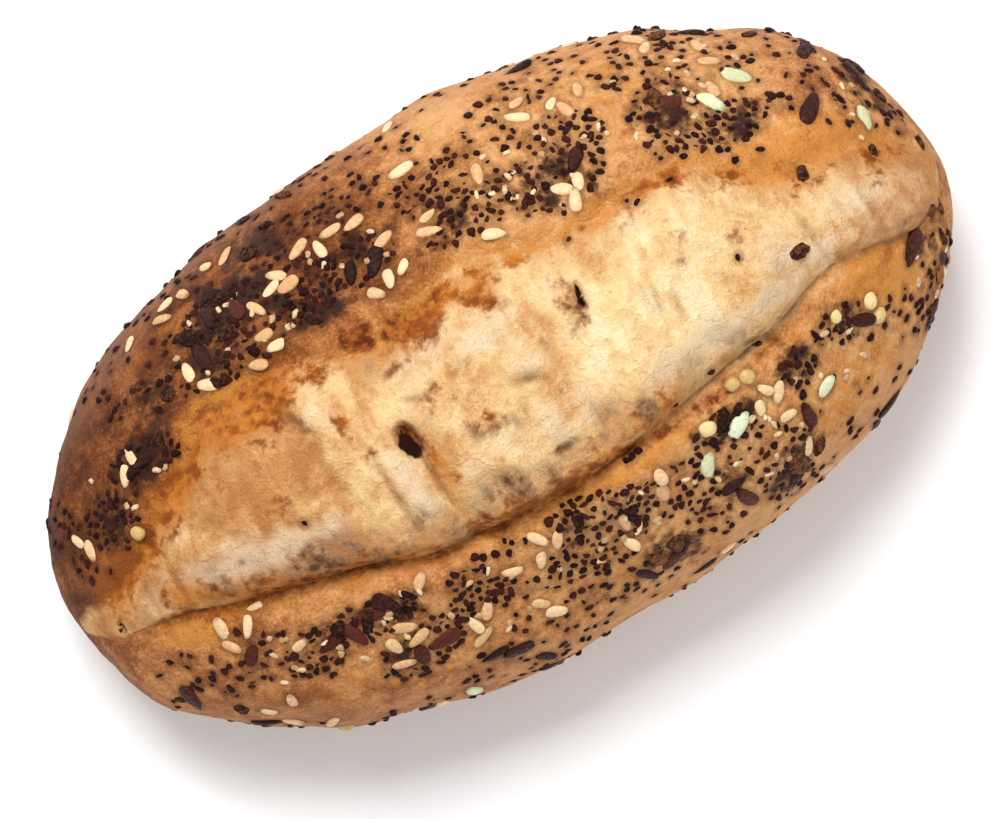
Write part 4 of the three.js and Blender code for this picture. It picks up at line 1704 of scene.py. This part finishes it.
SEED_FINISHES: dict[SeedKind, SeedFinish] = {
    SeedKind.LINSEED: SeedFinish(
        tone(82, 34, 22), tone(30, 12, 8), tone(26, 10, 8), 0.5, 0.12, 0.1, 0.5
    ),
    SeedKind.HULLED: SeedFinish(
        tone(212, 218, 186), tone(190, 190, 144), tone(156, 150, 104), 0.5, 0.3, 0.1, 0.7
    ),
    SeedKind.SESAME: SeedFinish(
        tone(228, 197, 153), tone(198, 152, 104), tone(140, 94, 54), 0.5, 0.25, 0.07, 0.5
    ),
    SeedKind.MILLET: SeedFinish(
        tone(222, 198, 142), tone(192, 158, 94), tone(150, 112, 66), 0.45, 0.3, 0.06, 0.45
    ),
    SeedKind.POPPY: SeedFinish(
        tone(66, 25, 19), tone(26, 8, 7), tone(30, 12, 9), 0.65, 0.1, 0.1, 0.3
    ),
}


@dataclass(frozen=True)
class SeedForm:
    """The shape of one kind of seed, before its size.

    Attributes:
        rings: Rings of faces from end to end.
        sides: Faces round each ring.
        point: How much narrower the pointed end is, from 0 to 1.
        blunt: Power of the girth from end to end, 1 for an oval and less for blunter ends.
        bend: Sideways bend of the middle, as a share of the width.
        dent: Depth of the dent along the top, as a share of the thickness.
        knobs: Height of the skin's own bumps, as a share of the size.
        uneven: How much the seeds' proportions differ, as a share of the size.
        sunk: How much deeper the deepest one sits, as a share of the thickness.
        dent_width: Half width of the dent, as a share of the form's.
    """

    rings: int
    sides: int
    point: float
    blunt: float = 1.0
    bend: float = 0.0
    dent: float = 0.0
    knobs: float = 0.0
    uneven: float = 0.06
    sunk: float = 0.0
    dent_width: float = 0.35

    def template(self) -> tuple[Array, Faces]:
        """A seed of half sizes 1, pointed towards +X, as vertices and faces.

        Returns:
            The vertices, one row each, and the faces.
        """
        rows = [(-1.0, 0.0, 0.0)]
        for ring in range(1, self.rings):
            angle = math.pi * ring / self.rings
            along, girth = -math.cos(angle), math.sin(angle) ** self.blunt
            narrow = 1.0 - self.point * (1.0 + along) / 2.0
            for side in range(self.sides):
                turn = 2 * math.pi * side / self.sides
                wide, high = math.cos(turn), math.sin(turn)
                dent = self.dent * math.exp(-((wide / self.dent_width) ** 2)) if high > 0 else 0.0
                sideways = self.bend * (1.0 - along**2)
                rows.append((along, girth * narrow * wide + sideways, girth * high - girth * dent))
        rows.append((1.0, 0.0, 0.0))
        return np.array(rows), net_faces(self.rings, self.sides)


def net_faces(rings: int, sides: int) -> Faces:
    """Faces of a closed net: one vertex at each end, and rings of vertices between them.

    Args:
        rings: Rings of faces from end to end.
        sides: Faces round each ring.

    Returns:
        The faces, facing out where the rings run along +X and turn from +Y to +Z.
    """
    faces: Faces = []
    last = 1 + (rings - 1) * sides
    for side in range(sides):
        after = (side + 1) % sides
        faces.append((0, 1 + after, 1 + side))
        for ring in range(rings - 2):
            start = 1 + ring * sides
            faces.append((start + side, start + after, start + sides + after, start + sides + side))
        end = last - sides
        faces.append((end + side, end + after, last))
    return faces


SEED_FORMS: dict[SeedKind, SeedForm] = {
    SeedKind.LINSEED: SeedForm(14, 16, 0.4, 0.85, 0.06, 0.1, 0.04, 0.08),
    SeedKind.HULLED: SeedForm(12, 14, 0.25, 0.8, 0.12, 0.12, 0.06, 0.08),
    SeedKind.SESAME: SeedForm(12, 14, 0.34, 0.8, 0.05, 0.1, 0.04, 0.09),
    SeedKind.MILLET: SeedForm(10, 12, 0.05, 0.95, 0.0, 0.1, 0.06, 0.05),
    SeedKind.POPPY: SeedForm(6, 8, 0.12, 0.85, 0.2, 0.1, 0.12, 0.2, 0.28),
}


def put(name: str, data: bpy.types.ID) -> bpy.types.Object:
    """Puts an object with some data into the scene.

    Args:
        name: The object's name.
        data: Its mesh, light or camera.

    Returns:
        The object.
    """
    made = bpy.data.objects.new(name, data)
    bpy.context.scene.collection.objects.link(made)
    return made


def make_piece(
    name: str, points: Array, faces: Faces, material: bpy.types.Material,
    shares: dict[str, Array],
) -> bpy.types.Object:
    """A smooth mesh object.

    Args:
        name: The piece's name.
        points: Its vertices in mm.
        faces: Its faces as rows of vertex numbers.
        material: Its material.
        shares: Numbers that the material reads, one for each vertex.

    Returns:
        The object, linked into the scene.
    """
    mesh = bpy.data.meshes.new(name)
    mesh.from_pydata((points * MM).tolist(), [], faces)
    for share, values in shares.items():
        attribute = mesh.attributes.new(share, "FLOAT", "POINT")
        attribute.data.foreach_set("value", values.astype(np.float32))
    mesh.polygons.foreach_set("use_smooth", np.ones(len(mesh.polygons), dtype=bool))
    mesh.materials.append(material)
    mesh.validate()
    mesh.update()
    return put(name, mesh)


def dress(piece: bpy.types.Object, slot: str) -> None:
    """Attaches a piece to the body that it rides on, hides the part that it stands for, and logs
    the slot of its finish.

    Args:
        piece: The piece.
        slot: The name of its finish's slot, which is logged.
    """
    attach(piece, BODY)
    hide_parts(NODE)
    log.info("%s: %d faces, slot %s", piece.name, len(piece.data.polygons), slot)


@dataclass(frozen=True)
class Clumps:
    """Many small closed forms of one make, joined into one piece.

    Attributes:
        name: The piece's name.
        slot: The name of its finish's slot, which is logged.
        finish: Its finish.
        form: The form that all of them share before their sizes.
        pointed: Whether the finish tells the pointed end from the other.
    """

    name: str
    slot: str
    finish: SeedFinish
    form: SeedForm
    pointed: bool

    def join(self, clumps: list[Array], tones: Array) -> bpy.types.Object:
        """Makes the piece.

        Args:
            clumps: Each form's vertices in the order of the shared form's.
            tones: How deep each one's colour is.

        Returns:
            The piece.
        """
        template, faces = self.form.template()
        count, number = len(template), len(clumps)
        all_faces = [tuple(i + n * count for i in face) for n in range(number) for face in faces]
        shares = {
            "tone": np.repeat(tones, count),
            "along": np.tile(template[:, 0] * self.pointed, number),
            "low": np.tile(0.5 - 0.5 * template[:, 2], number),
        }
        material = self.finish.material(self.name)
        piece = make_piece(self.name, np.vstack(clumps), all_faces, material, shares)
        dress(piece, self.slot)
        return piece


@dataclass(frozen=True)
class Ground:
    """Tells how the seeds lie round points of the surface: it gives the painted shade and char
    round each seed, and the painted shade and stain among crowded poppy seeds.

    Attributes:
        window: How far round a seed points are looked at.
        spread: How far a seed counts towards crowding.
        painted_rim: How far the painted shade and char round a seed reaches.
        thin: Seeds on each square mm where crowding starts to show.
        thick: Seeds on each square mm more at which it is full.
    """

    window: float = 3.6
    spread: float = 1.4
    painted_rim: float = 0.5
    thin: float = 0.55
    thick: float = 1.1

    def shares(self, points: Array, sown: dict[SeedKind, Bed]) -> dict[str, Array]:
        """How crowded with poppy seeds points are, and how close to a seed: the shares of painted
        shade and stain among crowded seeds, and of painted shade and char round each seed.

        Args:
            points: Points of the surface.
            sown: The seeds.

        Returns:
            The two shares from 0 to 1, one for each point.
        """
        order = np.argsort(points[:, 0])
        lined = points[order]
        crowd_shade_and_stain, seed_shade_and_char = np.zeros(len(points)), np.zeros(len(points))
        for kind, bed in sown.items():
            starts = np.searchsorted(lined[:, 0], bed.points[:, 0] - self.window)
            stops = np.searchsorted(lined[:, 0], bed.points[:, 0] + self.window)
            for i, (start, stop) in enumerate(zip(starts, stops)):
                away = lined[start:stop] - bed.points[i]
                axes = Seeds.basis(bed.normals[i], bed.turns[i], bed.tilts[i])
                outside = np.linalg.norm(away @ axes / (bed.sizes[i] / 2), axis=1) - 1.0
                gap = outside * bed.sizes[i, 1] / 2
                part = seed_shade_and_char[start:stop]
                # Painted shade and char, fading out from each seed's edge.
                np.maximum(part, smooth(1.0 - gap / self.painted_rim), out=part)
                if kind is SeedKind.POPPY:
                    crowd_shade_and_stain[start:stop] += bell(np.linalg.norm(away, axis=1), self.spread)
        crowd_shade_and_stain /= math.pi * self.spread**2
        shares = {"crowd_shade_and_stain": np.empty(len(points)), "seed_shade_and_char": np.empty(len(points))}
        shares["crowd_shade_and_stain"][order] = smooth((crowd_shade_and_stain - self.thin) / self.thick)
        shares["seed_shade_and_char"][order] = seed_shade_and_char
        return shares


@dataclass
class Bread:
    """The bread itself: crust and burst dough as one closed surface over the solid's form."""

    skin: Skin
    base_rows: int = 6
    belly_rows: int = 10
    crust_rows: int = 46
    burst_rows: int = 100
    sections: int = 435

    def _spots(self) -> tuple[Array, Array, Array]:
        """Places along the roll, shares across it and whether below, ring by ring.

        Returns:
            The three, with one entry for each vertex of the rings.
        """
        loaf, burst = self.skin.loaf, self.skin.burst
        x = loaf.half_length * -np.cos(math.pi * np.arange(1, self.sections) / self.sections)
        base = loaf.base_share(x)
        far, near = burst.far.at(x), burst.near.at(x)

        def rounded(t: float) -> float:
            """Gathers rows at the widest line, where the surface stands upright."""
            return 1.0 - math.cos(t * math.pi / 2)

        runs: tuple[tuple[int, Callable[[float], Array], bool], ...] = (
            (self.base_rows, lambda t: base * t, True),
            (self.belly_rows, lambda t: base + (1 - base) * (1 - rounded(1 - t)), True),
            (self.crust_rows, lambda t: 1 - (1 - far) * rounded(t), False),
            (self.burst_rows, lambda t: far + (near - far) * t, False),
            (self.crust_rows, lambda t: (1 + near) * rounded(1 - t) - 1, False),
            (self.belly_rows, lambda t: (1 - base) * rounded(t) - 1, True),
            (self.base_rows, lambda t: base * (t - 1), True),
        )
        rows = [(place(t), side) for n, place, side in runs for t in np.arange(n) / n]
        across = np.stack([row for row, _ in rows], axis=1)
        below = np.broadcast_to(np.array([side for _, side in rows]), across.shape)
        return np.repeat(x, len(rows)), across.ravel(), below.ravel()

    def build(self, sown: dict[SeedKind, Bed]) -> bpy.types.Object:
        """Builds the bread.

        Args:
            sown: The seeds, whose crowding shades the crust.

        Returns:
            The piece.
        """
        half = self.skin.loaf.half_length
        x, across, below = self._spots()
        rings, _ = self.skin.spots(x, across, below)
        ends, _ = self.skin.spots(np.array([-half, half]), np.zeros(2), np.zeros(2, dtype=bool))
        points = np.vstack([ends[:1], rings, ends[1:]])
        sides = len(rings) // (self.sections - 1)
        faces = [face[::-1] for face in net_faces(self.sections, sides)]
        shares = self.skin.colouring(points) | Ground().shares(points, sown)
        piece = make_piece("bread", points, faces, BreadFinish().material(), shares)
        dress(piece, "crust")
        return piece


@dataclass
class Seeds:
    """The seeds of every kind, each kind as one piece.

    Attributes:
        sown: Where they lie.
        sink: How deep the least sunk one sits, as a share of its thickness.
        knob_length: Length of the knobs' waves, as a share of half a seed.
        knob_gain: What brings the knobs' waves to full height.
    """

    sown: dict[SeedKind, Bed]
    sink: float = 0.12
    knob_length: float = 0.9
    knob_gain: float = 2.5

    @staticmethod
    def basis(normal: Array, turn: float, tilt: float) -> Array:
        """The directions of a seed's length, width and thickness, as columns.

        Args:
            normal: The skin's outward direction.
            turn: How far the seed is turned on it.
            tilt: How far one end is lifted.

        Returns:
            The three columns.
        """
        level = np.cross((0.0, 0.0, 1.0), normal)
        length = np.linalg.norm(level)
        level = level / length if length > 1e-3 else np.array([1.0, 0.0, 0.0])
        along = level * math.cos(turn) + np.cross(normal, level) * math.sin(turn)
        side = np.cross(normal, along)
        cos, sin = math.cos(tilt), math.sin(tilt)
        tilted = np.array([[cos, 0.0, sin], [0.0, 1.0, 0.0], [-sin, 0.0, cos]])
        return np.stack([along, side, normal], axis=1) @ tilted

    def build(self, kind: SeedKind) -> bpy.types.Object:
        """Builds all seeds of one kind.

        Args:
            kind: The kind.

        Returns:
            The piece.
        """
        form = SEED_FORMS[kind]
        template, _ = form.template()
        bed = self.sown[kind]
        number = len(bed.turns)
        stream = np.random.default_rng(len(template) * 1000 + number)
        clumps, tones = [], stream.random(number)
        for i in range(number):
            shape = template * (1.0 + form.uneven * stream.normal(size=3))
            knobs = Grain(self.knob_length, int(stream.integers(1, 10**6))).at(template)
            shape = shape * (1.0 + form.knobs * self.knob_gain * knobs)[:, None]
            sink = self.sink + form.sunk * stream.random()
            centre = bed.points[i] - bed.normals[i] * sink * bed.sizes[i, 2]
            axes = self.basis(bed.normals[i], bed.turns[i], bed.tilts[i])
            clumps.append(shape * bed.sizes[i] / 2 @ axes.T + centre)
        name, finish = f"seeds_{kind.value}", SEED_FINISHES[kind]
        return Clumps(name, kind.value, finish, form, True).join(clumps, tones)


@dataclass(frozen=True)
class Crumb:
    """A charred bit on the crust: where it lies, its size, its turn in degrees and its tone."""

    x: float
    y: float
    size: Triple
    turn: float
    tone: float


def crumbs(*rows: tuple[float, ...]) -> tuple[Crumb, ...]:
    """Bits from rows of place, length, width, thickness, turn and tone."""
    return tuple(Crumb(x, y, tuple(size), turn, own_tone) for x, y, *size, turn, own_tone in rows)


CRUMBS: tuple[Crumb, ...] = crumbs(
    (40.8, -5.8, 2.9, 1.9, 0.8, 20, 0.84), (47.3, 2.4, 2.8, 1.7, 1, 60, 0.88),
    (57.5, 0.6, 2.2, 1.3, 0.9, 70, 0.85), (57.3, 17.2, 3.2, 2, 1, 30, 0.9),
    (61.3, 12.6, 3, 1.8, 1, -40, 0.8), (55.2, -12.6, 4.6, 1.5, 0.9, 80, 0.8),
    (59, -9.4, 2.4, 1.6, 0.8, 20, 0.7), (57.2, -17.6, 2.8, 2, 1, -50, 0.1),
    (28, -29.6, 4.4, 2.8, 1.2, 10, 0.65), (31.6, -29.2, 2.6, 1.8, 1.2, -60, 0.75),
    (9, -31.4, 3, 2.6, 1.2, 0, 0.7), (6, -32, 2.8, 2, 0.9, 30, 0.5),
    (-33, 24.4, 4.6, 2.2, 1, 32, 1), (-27.2, 27.6, 4.8, 2.6, 1.1, 28, 1),
    (-28.4, 22.6, 3.2, 2.4, 1, -40, 0.95), (-20.6, 30.4, 3.2, 2.6, 1, 0, 0.9),
    (-17, 32.2, 2.2, 1.4, 1, 50, 0.95), (-32.6, 17, 2, 1.6, 0.8, 0, 1),
    (-47.6, 13, 3.6, 1.5, 0.9, 58, 1), (-43.4, 14.6, 3, 1.6, 0.8, 10, 0.9),
    (-39, 19.2, 2.4, 2.2, 0.8, 0, 0.85), (-35.4, -19, 3.4, 1.8, 1, -14, 1),
    (-31.2, -19.8, 3.8, 1.7, 1, -8, 1), (-27, -20.4, 2.6, 1.4, 0.8, 10, 0.95),
    (-17.6, 18, 2.6, 1.5, 0.8, 12, 0.95), (22.2, -19.8, 2.8, 2, 0.9, -30, 1),
    (-0.8, -21.6, 3, 1.6, 0.9, -10, 1), (5.8, -24.2, 2.8, 1.4, 0.9, -30, 1),
    (42.4, -16.6, 3.2, 1.4, 0.8, -84, 0.85), (35.6, 20.6, 3.4, 2.2, 0.9, 20, 0.7),
    (-12.8, 35.9, 3.2, 1.3, 1.2, 30, 0.7), (31.6, -14.3, 3.8, 0.8, 0.5, 14, 0.75),
    (62.6, 7, 2.4, 1.4, 0.9, 70, 0.85), (63.2, -1.2, 2.2, 1.2, 0.8, 85, 0.8),
    (61.2, -9.6, 2.6, 1.3, 0.8, -70, 0.6), (59.4, -13.4, 2, 1.1, 0.7, -60, 0.9),
    (51.6, 23.6, 2.6, 1.6, 0.8, -36, 0.8), (40.6, 30.2, 3.4, 2, 0.9, -24, 0.7),
    (54, -24.4, 2, 1.4, 0.7, 48, 0.9), (-57.6, -16, 1.8, 1.2, 0.7, -50, 0.9),
    (-51.4, -21, 2.4, 1.8, 0.8, 40, 0.9),
)

CHARRED = SeedFinish(
    tone(150, 92, 50), tone(32, 14, 10), tone(30, 14, 10), 0.65, 0.1, 0.16, 0.5
)

BROKEN = SeedFinish(
    tone(222, 196, 156), tone(176, 136, 94), tone(136, 94, 56), 0.5, 0.25, 0.1, 0.5
)

PALE_PATCHES: tuple[Patch, ...] = patches(
    (-27, 22, 10, 6, 16), (-8, 24, 8, 5, 10), (17, 20, 9, 6, 16), (35, 20, 8, 6, 12),
    (46, 22, 6, 5, 7), (57, 9, 4, 6, 6), (-30, -21, 9, 3, 10), (-46, -18, 6, 4, 6),
    (-16, -26, 8, 5, 8), (2, -26, 9, 5, 12), (23, -24, 9, 5, 16), (40, -20, 8, 4, 8),
    (57, -18, 4, 5, 8), (-50, 12, 6, 5, 5),
)


def pale_bits(start: int, least: Triple, spread: Pair) -> tuple[Crumb, ...]:
    """Broken bits of pale seeds that lie among the whole ones.

    Args:
        start: Start of their row of draws.
        least: The smallest bit's length, width and thickness.
        spread: How much longer and wider the largest is.

    Returns:
        The bits.
    """
    draws = Draws(start)
    bits: list[Crumb] = []
    for patch in PALE_PATCHES:
        drawn = draws.take(5 * patch.count).reshape(-1, 5)
        xs, ys = patch.spots(drawn[:, 0], drawn[:, 1])
        for x, y, (length, width, turn) in zip(xs, ys, drawn[:, 2:]):
            size = (least[0] + spread[0] * length, least[1] + spread[1] * width, least[2])
            bits.append(Crumb(x, y, size, 360.0 * turn, width))
    return tuple(bits)


@dataclass
class Crumbs:
    """Ragged bits of one kind that lie among the seeds.

    Attributes:
        skin: The surface that they lie on.
        name: The piece's name.
        slot: The name of its finish's slot, which is logged.
        bits: Where they lie.
        finish: Their finish.
        form: Their form before it is made ragged.
        lift: How far their middles stand above the skin, as a share of their thickness.
        ragged: How strong the knobs are that make them ragged.
        knob_length: Length of the knobs' waves, as a share of half a bit.
        first_salt: Picks the first one's knobs.
        outermost: The greatest share of the half width at which one lies.
    """

    skin: Skin
    name: str
    slot: str
    bits: tuple[Crumb, ...]
    finish: SeedFinish
    form: SeedForm = SeedForm(12, 14, 0.1, 0.7)
    lift: float = 0.1
    ragged: float = 0.5
    knob_length: float = 0.8
    first_salt: int = 500
    outermost: float = 0.95

    def build(self) -> bpy.types.Object:
        """Builds all of them as one piece.

        Returns:
            The piece.
        """
        template, _ = self.form.template()
        clumps = []
        for salt, bit in enumerate(self.bits, self.first_salt):
            x = np.array([bit.x])
            across = bit.y / self.skin.loaf.half_width_at(x)
            across = np.clip(across, -self.outermost, self.outermost)
            points, normals = self.skin.spots(x, across, np.array([False]))
            knobs = Grain(self.knob_length, salt, 3).at(template)
            shape = template * (1.0 + self.ragged * knobs)[:, None] * np.array(bit.size) / 2
            axes = Seeds.basis(normals[0], math.radians(bit.turn) - math.pi / 2, 0.0)
            clumps.append(shape @ axes.T + points[0] + normals[0] * self.lift * bit.size[2])
        tones = np.array([bit.tone for bit in self.bits])
        return Clumps(self.name, self.slot, self.finish, self.form, False).join(clumps, tones)


@dataclass(frozen=True)
class Studio:
    """Plain pale floor, soft light, and the camera of the photograph.

    Attributes:
        loaf: The roll without its burst.
        image: Width and height of the image in pixels.
        scale: Pixels for each mm at the roll's widest line.
        middle: The roll's middle in the image, in pixels.
        turn: Degrees that the roll's length rises to the right in the image.
        tilt: Degrees that the camera leans from straight above.
        lens: Focal length.
        sensor: Width of the sensor.
        sight: How far the camera sees, in metres.
        floor_half: Half the floor's side.
        floor_gap: How far the floor lies below the roll's base.
        floor_colour: The floor's colour.
        floor_cloud: The colour of its faint clouds.
        key_at: The main light's place to the right, up and above in the image, in metres.
        key_size: Side of the main light.
        key_energy: Its power.
        fill_at: The second light's place.
        fill_size: Side of the second light.
        fill_energy: Its power.
        sky_colour: The colour of the light from all round.
        sky_strength: Its strength.
    """

    loaf: Loaf
    image: Pair = (1000.0, 819.0)
    scale: float = 7.5
    middle: Pair = (499.0, 376.5)
    turn: float = 30.0
    tilt: float = 1.5
    lens: float = 300.0
    sensor: float = 36.0
    sight: float = 20.0
    floor_half: float = 4000.0
    floor_gap: float = 0.05
    floor_colour: Colour = tone(246, 246, 247)
    floor_cloud: Colour = tone(244, 244, 246)
    key_at: Triple = (-0.22, 0.5, 0.95)
    key_size: float = 0.5
    key_energy: float = 12.6
    fill_at: Triple = (0.6, -0.6, 0.6)
    fill_size: float = 0.6
    fill_energy: float = 2.6
    sky_colour: Colour = (1.0, 0.99, 0.98, 1.0)
    sky_strength: float = 0.57

    def _plan(self) -> tuple[Vector, Vector]:
        """The image's right and up as directions in plan.

        Returns:
            The two directions.
        """
        angle = math.radians(self.turn)
        right = Vector((math.cos(angle), -math.sin(angle), 0.0))
        return right, Vector((math.sin(angle), math.cos(angle), 0.0))

    def add_camera(self) -> None:
        """Places the camera so that the roll stands in the image as in the photograph."""
        right, up = self._plan()
        lean = math.radians(self.tilt)
        back = Vector((0, 0, 1)) * math.cos(lean) - up * math.sin(lean)
        top = back.cross(right)
        aside = (self.image[0] / 2 - self.middle[0]) / self.scale
        lower = (self.image[1] / 2 - self.middle[1]) / self.scale
        target = right * aside - up * lower + Vector((0, 0, self.loaf.waist_height))
        distance = self.lens / self.sensor * self.image[0] / self.scale
        data = bpy.data.cameras.new("camera")
        data.lens = self.lens
        data.sensor_width = self.sensor
        data.clip_end = self.sight
        camera = put("camera", data)
        axes = Matrix((right, top, back)).transposed().to_4x4()
        camera.matrix_world = Matrix.Translation((target + back * distance) * MM) @ axes
        bpy.context.scene.camera = camera

    def add_floor(self) -> None:
        """Lays the pale floor."""
        s = Shading("floor")
        soft = s.noise(60.0, 2.0)
        colour = s.blend(self.floor_colour, self.floor_cloud, s.spread(soft, 0.3, 0.7))
        fine = s.bump(s.noise(0.6, 2.0), 0.01)
        material = s.finish(colour, 0.8, fine, 0.1)
        half, low = self.floor_half, -self.floor_gap
        corners = ((-half, -half, low), (half, -half, low), (half, half, low), (-half, half, low))
        floor = make_piece("floor", np.array(corners), [(0, 1, 2, 3)], material, {})

    def _add_light(self, name: str, at: Triple, size: float, energy: float) -> None:
        """Adds a square light that faces the roll.

        Args:
            name: Its name.
            at: Its place to the right, up and above in the image, in metres.
            size: Its side in metres.
            energy: Its power.
        """
        right, up = self._plan()
        place = right * at[0] + up * at[1] + Vector((0, 0, at[2]))
        data = bpy.data.lights.new(name, "AREA")
        data.size = size
        data.energy = energy
        light = put(name, data)
        light.location = place
        light.rotation_euler = (-place).to_track_quat("-Z", "Y").to_euler()

    def add_lights(self) -> None:
        """Adds soft light from the image's upper left, some from the lower right, and sky."""
        self._add_light("key", self.key_at, self.key_size, self.key_energy)
        self._add_light("fill", self.fill_at, self.fill_size, self.fill_energy)
        world = bpy.data.worlds.new("sky")
        world.use_nodes = True
        sky = world.node_tree.nodes["Background"]
        sky.inputs["Color"].default_value = self.sky_colour
        sky.inputs["Strength"].default_value = self.sky_strength
        bpy.context.scene.world = world
        bpy.context.scene.view_settings.view_transform = "Standard"


def main() -> None:
    """Builds the roll and its studio."""
    logging.basicConfig(level=logging.INFO, format="%(name)s: %(message)s")
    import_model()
    loaf = Loaf()
    burst = Burst(loaf)
    skin = Skin(loaf, burst)
    studio = Studio(loaf)
    studio.add_camera()
    studio.add_floor()
    studio.add_lights()
    sown = Sower(loaf, burst, skin).sow_all()
    Bread(skin).build(sown)
    seeds = Seeds(sown)
    for kind in SeedKind:
        seeds.build(kind)
    Crumbs(skin, "charred_bits", "crust", CRUMBS, CHARRED).build()
    broken = pale_bits(start=5501, least=(0.8, 0.6, 0.5), spread=(0.7, 0.4))
    Crumbs(skin, "pale_bits", "sesame", broken, BROKEN).build()


if __name__ == "__main__":
    main()
